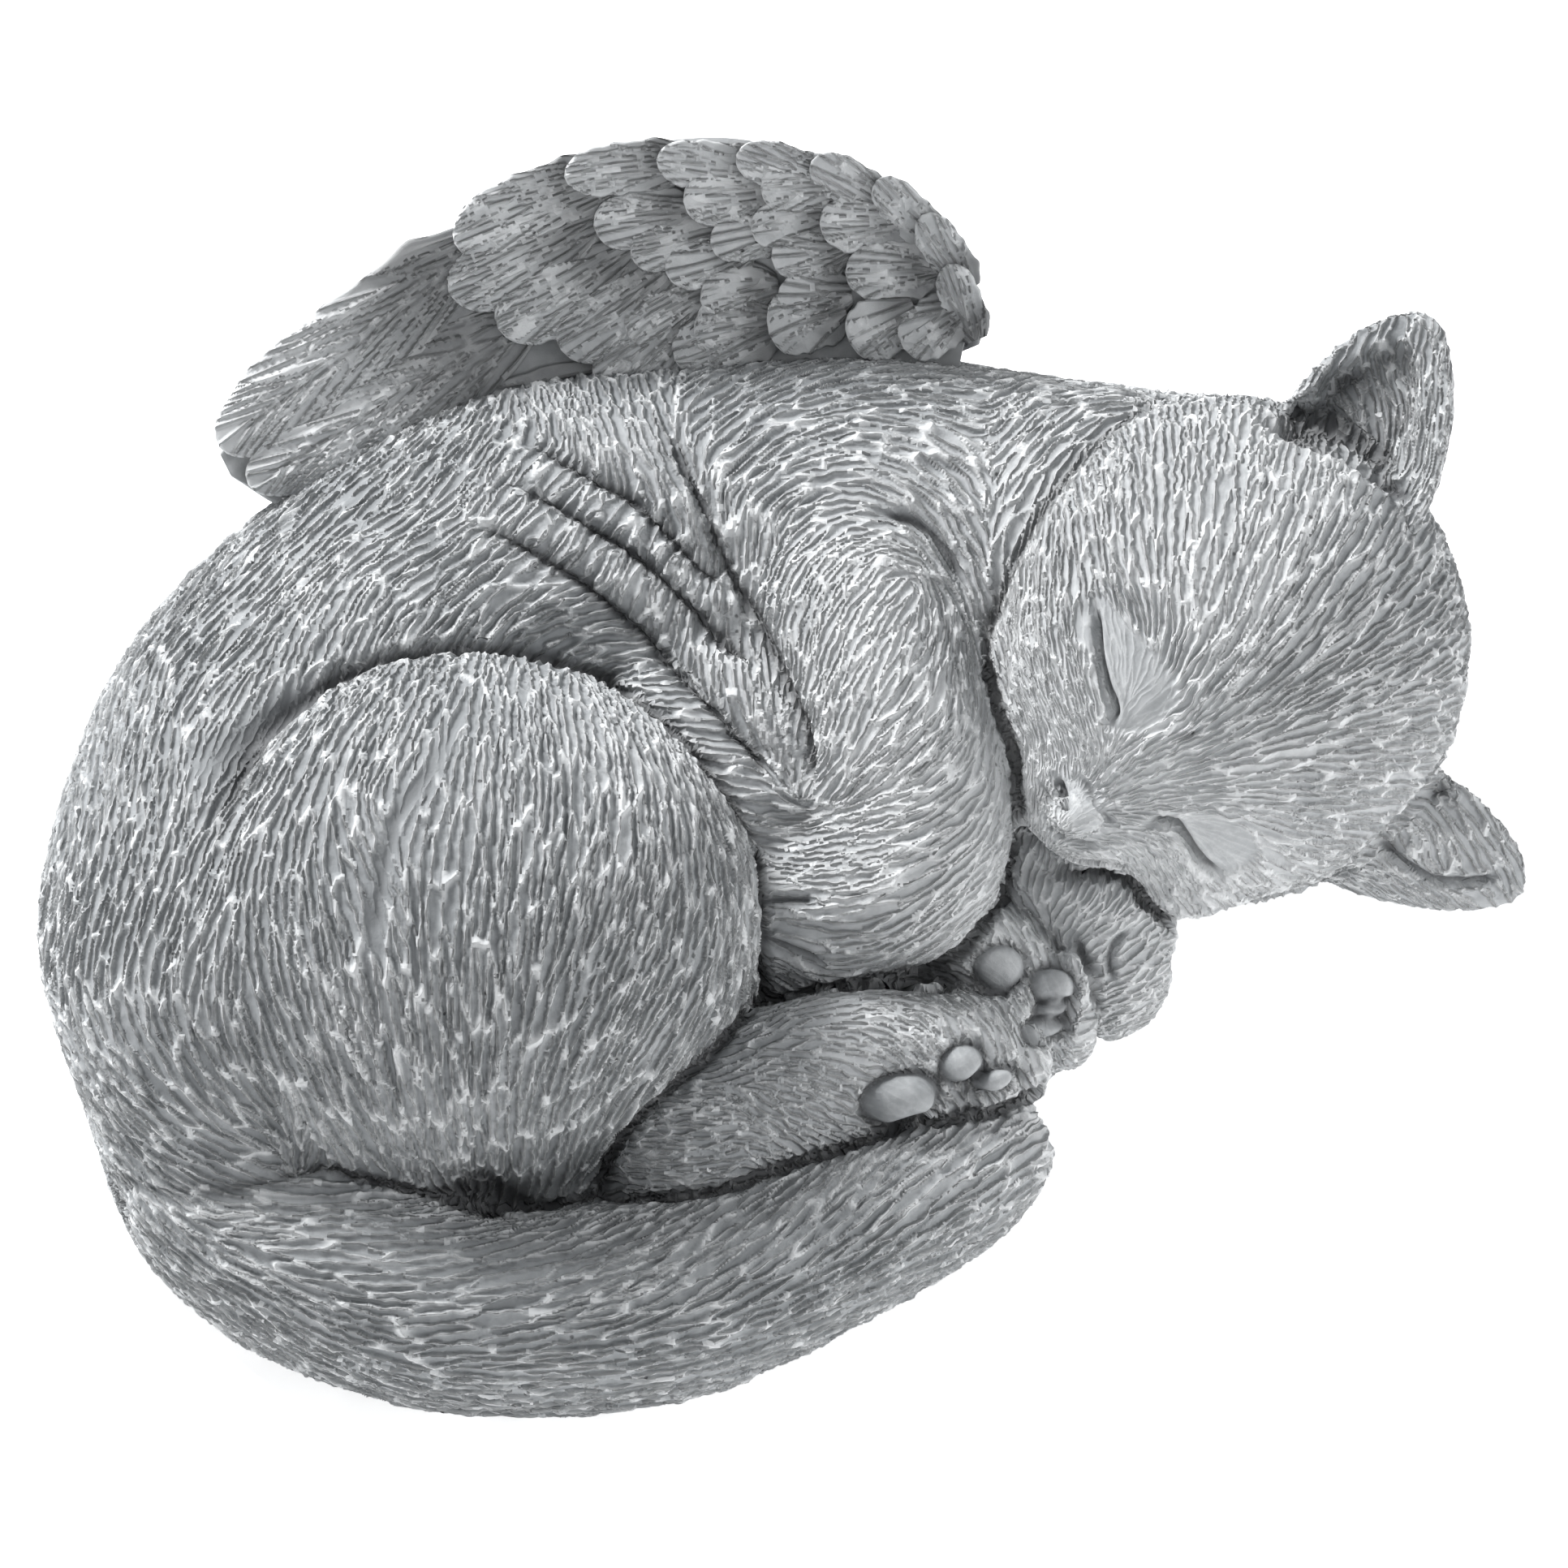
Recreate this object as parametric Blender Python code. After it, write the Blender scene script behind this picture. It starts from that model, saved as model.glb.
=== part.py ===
"""Pet memorial statue: a kitten asleep on its side with a pair of angel wings, cast in one piece.

Blender works in metres with +Z up. The statue stands on its flat underside, and the origin is at the middle of its
footprint. Sizes below are millimetres. A place is given as (x, w, z), the way it is measured on a view from the front
and VIEW_ANGLE above the ground: x to the right, w up the picture, and z the real height above the ground.
"""

import math

import bmesh
import bpy
import numpy as np
from mathutils import Matrix, Vector
from mathutils.bvhtree import BVHTree

MM = 0.001
VIEW_ANGLE = math.radians(60)
FOOTPRINT_MIDDLE = Vector((0.6, 3.7, 0.0))  # of the places below; it becomes the origin

# Stations of the round forms: x, w, z and radius.
SPINE = [
    (-93, -35, 24, 19), (-95, -24, 30, 28), (-93, -7, 34, 36), (-88, 18, 34, 36), (-79, 35, 34, 34.5),
    (-60, 50, 34, 34.5), (-39, 59, 34, 35), (-13, 61, 34, 35.5), (15, 63, 34, 35), (38, 61, 35, 34),
    (57, 58, 38, 34.5), (74, 57, 40, 33.5),
]
TAIL = [
    (-104, -24, 22, 18), (-96.5, -44, 18, 17.5), (-78, -58.5, 17, 16.5), (-52, -66, 16, 15.5), (-23, -64.5, 16, 15.5),
    (-6, -59.5, 15, 14.8), (12, -53, 13.5, 13), (24, -48, 12.5, 11.5), (33, -43.5, 12, 10), (39, -40, 11, 8),
]
FORELEG = [
    (6, 72, 34, 26), (10, 55, 46, 22.5), (16.5, 34, 45, 21), (22, 19.5, 41, 18), (20.5, 8, 37, 15.5),
    (12, 4, 34, 14.8), (4.5, 2.7, 32, 14),
]
HIND_FOOT = [(-16, -37, 22, 15.5), (-1, -30, 22, 14.5), (16, -25, 21, 13.2), (31, -24, 20, 11.8)]
FAR_HIND_FOOT = [(20, -6, 18, 12), (34, -8.5, 18, 12), (43, -15.5, 15, 9.5)]
FAR_FOREPAW = [(44, 9, 20, 12), (53.5, 2, 19, 11.5), (58, -8, 14, 9.5)]

# Rounded masses: place of the middle, then the half sizes along X, Y and Z.
HAUNCH = ((-60, 0, 38), (56, 48, 42))
BELLY = ((-8, 30, 27), (34, 36, 31))
CHEST = ((30, 40, 26), (24, 26, 34))
BED = ((-12, -27, 13), (54, 42, 10))
SKULL = ((75.8, 46.8, 42), (43.5, 44, 43.5))
JAW_SUPPORT = ((76, 41, 18), (38.5, 37, 27))
CHEEK = ((71, 12.5, 27), (13, 13, 13))
MUZZLE = ((55, 22, 43.5), (14, 14, 13))
NOSE = ((50.5, 17.5, 54), (5, 3.5, 3))
TOES = [  # place and radius, paw by paw
    (38, -19, 23, 5.5), (41, -25, 20, 5.5), (38, -30, 15, 5.5),
    (49, -12, 20, 5.5), (49, -19, 14, 5.5), (43, -22, 9, 5.5),
    (63, -3, 15, 5.5), (62, -10, 12, 5.5), (57, -14, 10, 5.5),
    (-4, 7, 34, 6.5), (-6, -2, 31, 6.5),
]
PADS = [(20.5, -31, 32, 6), (31, -24.5, 31, 3.6), (36.5, -28.5, 28, 3.6)]

# Ears: middle of the root, tip, and one corner of the root.
UPPER_EAR = ((97, 77, 70), (111, 104, 92), (109, 68, 72))
LOWER_EAR = ((102, 18, 27), (129.5, 5, 15), (110, 28, 40))
EAR_WALL = 5.0
EAR_CUP = 8.0

# Lines cut into the flank and the face, as points of x and w, with their depth and half width.
FLANK_FOLDS = [
    [(-57, 67), (-48, 66), (-35, 58), (-25, 49), (-11, 35), (0, 22)],
    [(-53, 76), (-44, 74), (-35, 69), (-25, 62), (-15, 52), (-4, 43)],
    [(-49, 84), (-41, 81), (-32, 76), (-25, 72), (-16, 62), (-10, 56)],
    [(-25, 91), (-19, 82), (-14, 72), (-10, 62), (-5, 50), (2, 34), (5, 20)],
]
FOLD_DEPTH, FOLD_HALF_WIDTH = 3.0, 2.6
EYELIDS = [
    [(52.5, 54), (51.8, 48), (53.2, 42), (56.4, 37.5), (55.5, 34)],
    [(64.5, 16), (67.5, 15.5), (70, 12), (75, 7)],
]
LID_DEPTH, LID_HALF_WIDTH = 1.8, 1.3

# The near wing, as it shows from the measured view: x and w of its two edges from the shoulder round to the tip.
LEADING_EDGE = [
    (31, 97), (32.5, 106), (30, 117), (23, 125), (12, 130.5), (-2, 134), (-15, 135), (-32, 132), (-52, 121.5),
    (-69, 109.5), (-83, 97.5), (-94, 86.5), (-98, 80.5),
]
TRAILING_EDGE = [
    (28, 84), (24, 82), (18, 80), (10, 78), (0, 77), (-10, 76), (-20, 75), (-32, 73), (-47, 70), (-62, 67),
    (-75, 67), (-87, 71), (-96, 76.5),
]
WING_DEPTH = 8.0  # towards the viewer, at the middle of its foot
WING_CURL_X, WING_CURL_W, WING_FOOT_W = 0.0015, 0.010, 86.0
WING_WALL = 6.0
FAR_WING_DEPTH = 8.5  # how far behind the near one the other wing lies
FAR_WING_SCALE, CORE_SCALE = 0.96, 0.9
WING_HUB = (0, 88)

# Feather rows from the tip of the wing up to its rim: count, x and w of the feather tips along the row, and the
# heading in degrees, the length and the width of the first and of the last feather.
FEATHER_ROWS = [
    (3, [(-80, 76), (-94.6, 77), (-97.5, 81)], (207, 219), (41, 55), (10.5, 12.5)),
    (5, [(-32, 91.7), (-38.8, 98.7), (-49.7, 102.3), (-58.2, 108.3), (-57.2, 117)], (220, 201), (23, 31), (12, 10.5)),
    (5, [(-1, 107.5), (-2.1, 114.6), (-5.6, 119.2), (-12.7, 116.8), (-26.6, 115)], (185, 195), (13, 16), (8, 7.5)),
    (2, [(-14.5, 107.2), (-20.5, 112.1)], (190, 197), (14, 16), (8, 8)),
    (4, [(18.4, 102.3), (9.7, 103), (-2.8, 102.3), (-16.2, 100.1)], (203, 190), (12, 16), (10, 11)),
    (5, [(10.2, 112.1), (5.6, 119.2), (-4.7, 124.9), (-17.7, 123.9), (-33.5, 119.9)], (178, 188), (17, 18), (8.5, 9)),
    (6, [(29.2, 118), (21.5, 126.5), (10, 130.5), (-3.8, 132.5), (-19.4, 132), (-37.4, 128.5)],
     (105, 187), (13, 21), (5.5, 6.5)),
]
FEATHER_THICKNESS = 3.0
FEATHER_LIFT = 1.7

GROUND_DRAW = 0.45  # below its middle, a form is drawn down to the ground by this share of its roundness
GROUND_MARGIN = 4.0  # how far the forms reach below the ground before they are cut off
BODY_VOXEL, BODY_SMOOTHING = 2.0, 12
FINE_VOXEL, FINE_SMOOTHING = 1.2, 3
FACES_KEPT = 9900
STONE_GREY = (0.42, 0.45, 0.47, 1.0)


def place(x, w, z):
    """The point of the statue, in mm, that shows at (x, w) from the measured view and is z above the ground."""
    y = (w - z * math.cos(VIEW_ANGLE)) / math.sin(VIEW_ANGLE)
    return Vector((x, y, z)) - FOOTPRINT_MIDDLE


def smooth_rows(rows, steps):
    """Rows of numbers read off a smooth curve through the given ones (Catmull-Rom), steps to each gap."""
    rows = np.array(rows, float)
    padded = np.vstack([2 * rows[0] - rows[1], rows, 2 * rows[-1] - rows[-2]])
    found = []
    for before, here, there, after in zip(padded, padded[1:], padded[2:], padded[3:]):
        for t in np.arange(steps) / steps:
            along, bend = there - before, 2 * before - 5 * here + 4 * there - after
            twist = 3 * here - before - 3 * there + after
            found.append(here + 0.5 * t * (along + t * (bend + t * twist)))
    return np.vstack([found, rows[-1]]).tolist()


def loft(bm, rings):
    """Closed skin over rings of points, all of one length, with each end closed to the middle of its ring."""
    made = [[bm.verts.new(point) for point in ring] for ring in rings]
    for ring, following in zip(made, made[1:]):
        for i in range(len(ring)):
            bm.faces.new((ring[i - 1], ring[i], following[i], following[i - 1]))
    for ring in (made[0], made[-1]):
        middle = bm.verts.new(sum((v.co for v in ring), Vector()) / len(ring))
        for i in range(len(ring)):
            bm.faces.new((ring[i - 1], ring[i], middle))


def drawn_down(point, middle_height):
    """The point, moved down if it is below the form's middle, so that the sides fall steeply to the ground."""
    below = middle_height - point.z
    if below > 0:
        point.z = max(middle_height - below / GROUND_DRAW, -GROUND_MARGIN)
    return point


def limb(bm, stations, sides=24):
    """Round form along stations of (x, w, z, radius), with ball-shaped ends."""
    path = [(*place(x, w, z), r) for x, w, z, r in smooth_rows(stations, 4)]
    middles = [Vector(p[:3]) for p in path]
    radii = [p[3] for p in path]
    rings = []
    for i, (middle, radius) in enumerate(zip(middles, radii)):
        ahead = middles[min(i + 1, len(path) - 1)] - middles[max(i - 1, 0)]
        ahead.normalize()
        across = ahead.cross(Vector((0, 0, 1))).normalized()
        over = across.cross(ahead)
        if i == 0:
            slices = [math.radians(a) for a in (-80, -55, -30, 0)]
        elif i == len(path) - 1:
            slices = [math.radians(a) for a in (0, 30, 55, 80)]
        else:
            slices = [0.0]
        for tilt in slices:
            ring = []
            for k in range(sides):
                turn = 2 * math.pi * k / sides
                out = across * math.cos(turn) + over * math.sin(turn)
                point = middle + (ahead * math.sin(tilt) + out * math.cos(tilt)) * radius
                ring.append(drawn_down(point, middle.z))
            rings.append(ring)
    loft(bm, rings)


def mass(bm, middle, half_sizes, drawn=True):
    """Egg-shaped form with the given half sizes, drawn down to the ground if it stands on it."""
    centre = place(*middle)
    made = bmesh.ops.create_uvsphere(bm, u_segments=32, v_segments=20, radius=1.0)["verts"]
    for v in made:
        point = centre + Vector(a * b for a, b in zip(v.co, half_sizes))
        v.co = drawn_down(point, centre.z) if drawn else point


def ear(bm, root, tip, corner):
    """Cupped leaf from its root to its tip: each ring is a crescent, an arc outside and a flatter one inside."""
    root, tip, corner = place(*root), place(*tip), place(*corner)
    along = tip - root
    side = corner - root
    opening = side.cross(along).normalized()
    rings = []
    for t in np.linspace(-0.25, 0.97, 12):
        half = (1 - max(t, 0.0) ** 2) ** 0.7
        arc = np.linspace(-1, 1, 13)
        ring = []
        for a in arc:
            depth = EAR_CUP * (1 - a * a) * half
            ring.append(root + along * t + side * (a * half) - opening * (depth + EAR_WALL / 2))
        for a in arc[::-1]:
            depth = EAR_CUP * (1 - a * a) * half
            wall = EAR_WALL / 2 * (1 - a * a)
            ring.append(root + along * t + side * (a * half) - opening * (depth - wall))
        rings.append(ring)
    loft(bm, rings)


def wing_point(x, w, lift=0.0):
    """Point over the cupped front face of the near wing, lift towards the viewer."""
    above_foot = max(w - WING_FOOT_W, 0.0)
    depth = WING_DEPTH + WING_CURL_X * x * x + WING_CURL_W * above_foot**2 + lift
    return place(x, w, w * math.cos(VIEW_ANGLE) + depth * math.sin(VIEW_ANGLE))


def wing_slab(bm, scale, front, back):
    """Body of a wing between two depths: each ring runs down its front face and back up its rear face."""
    rings = []
    for lead, trail in zip(smooth_rows(LEADING_EDGE, 3), smooth_rows(TRAILING_EDGE, 3)):
        across = []
        for t in np.linspace(0, 1, 13):
            x, w = (h + (a + (b - a) * t - h) * scale for a, b, h in zip(lead, trail, WING_HUB))
            across.append((float(x), float(w)))
        rings.append([wing_point(*p, front) for p in across] + [wing_point(*p, back) for p in across[::-1]])
    loft(bm, rings)


def feather(bm, tip, heading, length, width, face, outward):
    """Flat leaf on one face of a wing, its tip raised a little off that face."""
    heading = math.radians(heading)
    root = (tip[0] - length * math.cos(heading), tip[1] - length * math.sin(heading))
    start = wing_point(*root, face)
    end = wing_point(*tip, face + outward * FEATHER_LIFT)
    along = (end - start) / 2
    facing = Vector((0, -math.cos(VIEW_ANGLE), math.sin(VIEW_ANGLE)))
    across = along.cross(facing).normalized() * (width / 2)
    thick = along.cross(across).normalized() * (FEATHER_THICKNESS / 2)
    turn = Matrix((along, across, thick)).transposed().to_4x4()
    turn.translation = (start + end) / 2
    bmesh.ops.create_uvsphere(bm, u_segments=20, v_segments=12, radius=1.0, matrix=turn)


def wings(bm):
    """Two wings pressed together, with rows of feathers on the outer face of each."""
    far_front, far_back = -FAR_WING_DEPTH, -FAR_WING_DEPTH - WING_WALL
    wing_slab(bm, 1.0, 0.0, -WING_WALL)
    wing_slab(bm, CORE_SCALE, -1.0, far_back + 1.0)
    wing_slab(bm, FAR_WING_SCALE, far_front, far_back)
    for count, tips, headings, lengths, widths in FEATHER_ROWS:
        line = smooth_rows(tips, 12)
        for k in range(count):
            share = k / (count - 1)
            tip = line[round(share * (len(line) - 1))]
            sizes = [a + (b - a) * share for a, b in (headings, lengths, widths)]
            feather(bm, tip, *sizes, 0.3, 1.0)
            behind = [h + (a - h) * FAR_WING_SCALE for a, h in zip(tip, WING_HUB)]
            feather(bm, behind, *sizes, far_back - 0.3, -1.0)


def object_of(name, bm):
    """A named object made of the bmesh, which it frees; the points turn from mm to metres."""
    bmesh.ops.recalc_face_normals(bm, faces=bm.faces)
    mesh = bpy.data.meshes.new(name)
    bm.to_mesh(mesh)
    bm.free()
    mesh.transform(Matrix.Scale(MM, 4))
    made = bpy.data.objects.new(name, mesh)
    bpy.context.scene.collection.objects.link(made)
    return made


def settled(made):
    """The object with its modifiers taken into its mesh."""
    graph = bpy.context.evaluated_depsgraph_get()
    mesh = bpy.data.meshes.new_from_object(made.evaluated_get(graph))
    made.modifiers.clear()
    made.data = mesh
    return made


def fused(made, voxel, smoothing):
    """The object's overlapping forms made one skin, with its creases softened."""
    fuse = made.modifiers.new("fuse", "REMESH")
    fuse.mode = "VOXEL"
    fuse.voxel_size = voxel * MM
    soften = made.modifiers.new("soften", "SMOOTH")
    soften.factor = 0.5
    soften.iterations = smoothing
    return settled(made)


def distance_to_line(seen, line):
    """How far each point of the measured view is from a smooth line through the given points."""
    path = np.array(smooth_rows(line, 10))
    nearest = np.full(len(seen), np.inf)
    for a, b in zip(path, path[1:]):
        t = np.clip((seen - a) @ (b - a) / ((b - a) @ (b - a)), 0, 1)
        nearest = np.minimum(nearest, np.linalg.norm(seen - a - t[:, None] * (b - a), axis=1))
    return nearest


def carve(made, cuts):
    """Sinks grooves into the side that faces the measured view; a cut is its line of (x, w), depth, half width."""
    mesh = made.data
    count = len(mesh.vertices)
    points, normals = np.empty(count * 3), np.empty(count * 3)
    mesh.vertices.foreach_get("co", points)
    mesh.vertices.foreach_get("normal", normals)
    points, normals = points.reshape(-1, 3) / MM, normals.reshape(-1, 3)
    up = np.array([0, math.sin(VIEW_ANGLE), math.cos(VIEW_ANGLE)])
    facing = np.array([0, -math.cos(VIEW_ANGLE), math.sin(VIEW_ANGLE)])
    placed = points + np.array(FOOTPRINT_MIDDLE)
    seen = np.stack([placed[:, 0], placed @ up], axis=1)
    sunk = np.zeros(count)
    for line, depth, half_width in cuts:
        sunk = np.maximum(sunk, depth * np.exp(-((distance_to_line(seen, line) / half_width) ** 2)))
    tree = BVHTree.FromPolygons([v.co for v in mesh.vertices], [p.vertices for p in mesh.polygons])
    towards = Vector(facing)
    for i in np.flatnonzero((sunk > 0.02) & (normals @ facing > 0.1)):
        if tree.ray_cast(Vector(points[i] * MM) + towards * MM, towards)[0] is None:
            points[i] -= normals[i] * sunk[i]
    mesh.vertices.foreach_set("co", (points * MM).ravel())
    mesh.update()


def body_forms(bm):
    """The large forms: trunk, haunch, tail, foreleg and skull."""
    for stations in (SPINE, TAIL, FORELEG):
        limb(bm, stations)
    for middle, half_sizes in (HAUNCH, BELLY, CHEST, BED, JAW_SUPPORT):
        mass(bm, middle, half_sizes)
    for middle, half_sizes in (SKULL, CHEEK, MUZZLE):
        mass(bm, middle, half_sizes, drawn=False)


def small_forms(bm):
    """Feet tucked in front, toes, pads, nose and ears."""
    for foot in (HIND_FOOT, FAR_HIND_FOOT, FAR_FOREPAW):
        limb(bm, foot)
    for x, w, z, radius in TOES:
        mass(bm, (x, w, z), (radius,) * 3)
    for x, w, z, radius in PADS:
        mass(bm, (x, w, z), (radius,) * 3, drawn=False)
    mass(bm, *NOSE, drawn=False)
    for root, tip, corner in (UPPER_EAR, LOWER_EAR):
        ear(bm, root, tip, corner)


def ground_block():
    """Cutter for everything below the ground."""
    bm = bmesh.new()
    bmesh.ops.create_cube(bm, size=400)
    bmesh.ops.translate(bm, verts=bm.verts, vec=(0, 0, -200))
    block = object_of("ground_cutter", bm)
    block.hide_render = True
    block.display_type = "WIRE"
    return block


def cast_stone():
    """Cool grey cast stone."""
    stone = bpy.data.materials.new("cast_stone")
    stone.use_nodes = True
    shader = stone.node_tree.nodes["Principled BSDF"]
    shader.inputs["Base Color"].default_value = STONE_GREY
    shader.inputs["Roughness"].default_value = 0.85
    shader.inputs["Metallic"].default_value = 0.0
    return stone


def sleeping_kitten():
    """All forms fused into one body, smoothed, carved, thinned out and cut flat at the ground."""
    bm = bmesh.new()
    body_forms(bm)
    body = fused(object_of("large_forms", bm), BODY_VOXEL, BODY_SMOOTHING)
    bm = bmesh.new()
    small_forms(bm)
    wings(bm)
    kitten = object_of("sleeping_kitten", bm)
    bm = bmesh.new()
    bm.from_mesh(kitten.data)
    bm.from_mesh(body.data)
    bm.to_mesh(kitten.data)
    bm.free()
    bpy.data.objects.remove(body)
    fused(kitten, FINE_VOXEL, FINE_SMOOTHING)
    folds = [(line, FOLD_DEPTH, FOLD_HALF_WIDTH) for line in FLANK_FOLDS]
    lids = [(line, LID_DEPTH, LID_HALF_WIDTH) for line in EYELIDS]
    carve(kitten, folds + lids)
    thin = kitten.modifiers.new("thin", "DECIMATE")
    thin.ratio = FACES_KEPT / (2 * len(kitten.data.polygons))
    settled(kitten)
    flat = kitten.modifiers.new("flat_underside", "BOOLEAN")
    flat.operation = "DIFFERENCE"
    flat.object = ground_block()
    kitten.data.shade_smooth()
    kitten.data.materials.append(cast_stone())
    return kitten


for old in list(bpy.data.objects):
    bpy.data.objects.remove(old)
sleeping_kitten()
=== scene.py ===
"""Dressed model of the cast statue: a kitten asleep in a curl, with a pair of angel wings folded up behind its back.

The body's forms are profiles carried along paths and egg shapes, worked out as whole arrays. They are fused into one
skin, refined, carved (folds, closed eyes, nose, toes) and combed with fur strokes, and then parted into closed
pieces. The wings are slabs with rows of single feathers. Lengths are millimetres until a mesh is made.

A place is given as (x, w, z), the way it is measured on a view from the front and VIEW_ANGLE above the ground: x to
the right, w up the picture, and z the real height above the ground.
"""

import math

import bmesh
import bpy
import numpy as np
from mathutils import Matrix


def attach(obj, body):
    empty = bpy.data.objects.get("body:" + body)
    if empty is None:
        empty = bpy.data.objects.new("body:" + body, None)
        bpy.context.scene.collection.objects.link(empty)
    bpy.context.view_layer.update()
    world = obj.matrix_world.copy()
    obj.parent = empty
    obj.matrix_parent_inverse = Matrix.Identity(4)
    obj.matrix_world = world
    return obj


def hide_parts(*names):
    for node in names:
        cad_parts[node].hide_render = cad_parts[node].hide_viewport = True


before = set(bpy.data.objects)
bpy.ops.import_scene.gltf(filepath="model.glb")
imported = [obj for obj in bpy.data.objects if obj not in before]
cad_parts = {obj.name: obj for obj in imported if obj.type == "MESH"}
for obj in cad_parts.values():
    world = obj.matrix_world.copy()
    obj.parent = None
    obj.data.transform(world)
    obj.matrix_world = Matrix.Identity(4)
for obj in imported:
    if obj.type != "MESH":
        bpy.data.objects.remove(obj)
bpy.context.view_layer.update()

MM = 0.001
VIEW_ANGLE = math.radians(60)
RIGHT = np.array([1.0, 0.0, 0.0])
UP = np.array([0.0, math.sin(VIEW_ANGLE), math.cos(VIEW_ANGLE)])
TOWARDS = np.array([0.0, -math.cos(VIEW_ANGLE), math.sin(VIEW_ANGLE)])
FOOTPRINT_MIDDLE = np.array([0.6, 3.7, 0.0])
RNG = np.random.default_rng(7)

# Stations of the round forms: x, w, z and radius.
SPINE = [
    (-93, -35, 24, 19), (-95, -24, 30, 28), (-93, -7, 34, 36), (-88, 18, 34, 36), (-79, 35, 34, 34.5),
    (-60, 50, 34, 34.5), (-39, 59, 34, 35), (-13, 61, 34, 35.5), (15, 63, 34, 35), (38, 61, 35, 34),
    (57, 58, 38, 34.5), (74, 57, 40, 33.5),
]
TAIL = [
    (-104, -24, 22, 18), (-96.5, -44, 18, 17.5), (-78, -58.5, 17, 16.5), (-52, -66, 16, 15.5), (-23, -64.5, 16, 15.5),
    (-6, -59.5, 15, 14.8), (12, -53, 13.5, 13), (24, -48, 12.5, 11.5), (33, -43.5, 12, 10), (39, -40, 11, 8),
]
FORELEG = [
    (6, 72, 34, 26), (10, 55, 46, 22.5), (16.5, 34, 45, 21), (22, 19.5, 41, 18), (20.5, 8, 37, 15.5),
    (12, 4, 34, 14.8), (4.5, 2.7, 32, 14),
]
HIND_FOOT = [(-16, -37, 22, 15.5), (-1, -30, 22, 14.5), (16, -25, 21, 13.2), (31, -24, 20, 11.8)]
FAR_HIND_FOOT = [(20, -6, 18, 12), (34, -8.5, 18, 12), (43, -15.5, 15, 9.5)]
FAR_FOREPAW = [(44, 9, 20, 12), (53.5, 2, 19, 11.5), (58, -8, 14, 9.5)]

# Rounded masses: place of the middle, then the half sizes along X, Y and Z.
HAUNCH = ((-60, 0, 38), (56, 48, 42))
BELLY = ((-8, 30, 27), (34, 36, 31))
CHEST = ((30, 40, 26), (24, 26, 34))
BED = ((-12, -27, 13), (54, 42, 10))
SKULL = ((75.8, 46.8, 42), (43.5, 44, 43.5))
JAW_SUPPORT = ((76, 41, 18), (38.5, 37, 27))
CHEEK = ((71, 12.5, 27), (13, 13, 13))
MUZZLE = ((55, 22, 43.5), (14, 14, 13))
NOSE = ((50.5, 17.5, 54), (5, 3.5, 3))
TOES = [
    (38, -19, 23, 5.5), (41, -25, 20, 5.5), (38, -30, 15, 5.5),
    (49, -12, 20, 5.5), (49, -19, 14, 5.5), (43, -22, 9, 5.5),
    (63, -3, 15, 5.5), (62, -10, 12, 5.5), (57, -14, 10, 5.5),
    (-4, 7, 34, 6.5), (-6, -2, 31, 6.5),
]
PADS = [((20.5, -31.5, 25.5), (6.6, 4.6, 5.5)), ((31.1, -25.3, 27.3), (3.9, 3.4, 3.9)),
        ((36.7, -28.1, 25.2), (3.8, 2.3, 3.4))]
# Pads with a groove round them on the soles: x and w of the middle, half sizes, and lean in degrees.
SOLE_PADS = [
    (20.5, -31.5, 6.3, 4.5, 15), (31.1, -25.2, 3.7, 3.3, 30), (36.8, -28.1, 3.7, 2.2, 25),
    (37.7, -8.6, 4.2, 3.7, 20), (47.0, -11.9, 3.6, 3.2, -30), (46.8, -16.2, 2.6, 1.9, 0), (45.6, -19.4, 3.2, 1.9, 10),
]
UPPER_EAR = ((97, 77, 70), (111, 104, 92), (109, 68, 72))
LOWER_EAR = ((102, 18, 27), (129.5, 5, 15), (110, 28, 40))
EAR_WALL, EAR_CUP = 5.0, 8.0

# Creases of the flank, and the lines and bare patches of the face, as points of x and w in the measured view.
FLANK_FOLDS = [
    [(-57, 67), (-48, 66), (-35, 58), (-25, 49), (-11, 35), (0, 22)],
    [(-53, 76), (-44, 74), (-35, 69), (-25, 62), (-15, 52), (-4, 43)],
    [(-49, 84), (-41, 81), (-32, 76), (-25, 72), (-16, 62), (-10, 56)],
    [(-25, 91), (-19, 82), (-14, 72), (-10, 62), (-5, 50), (2, 34), (5, 20)],
]
# Cut lines of the body, ears and paws: depth, half width, and the points.
BODY_LINES = [
    (0.8, 1.6, [(-57.2, 29.5), (-62, 22.5), (-65.7, 16.8), (-68.5, 4.1), (-69, -4)]),
    (0.8, 2.2, [(-99.6, 25.3), (-94.5, 30), (-89.7, 33.8), (-82, 38.5)]),
    (1.6, 1.0, [(16.9, 69.9), (22.6, 68.5), (27.5, 64.3), (31, 58)]),
    (2.2, 1.0, [(83, 86), (89.7, 82.5), (96.8, 79.7), (100, 77), (103.8, 74.7), (107, 73)]),
    (1.3, 0.8, [(-3, 3), (1, 3.1), (4.9, 3)]),
    (1.3, 0.8, [(-3, -4), (0, -5), (3.5, -6.5), (6.4, -7.9)]),
    (1.3, 0.7, [(103.8, 11.9), (109.5, 8.3), (113.7, 6.2), (120.8, 6.2), (123.6, 6.9)]),
    (1.4, 0.8, [(50.1, -3), (53.7, -10), (54.4, -15.7)]),
    (1.2, 0.7, [(60.5, -2), (57.5, -4.4), (56.5, -8), (57.5, -11)]),
]
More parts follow.
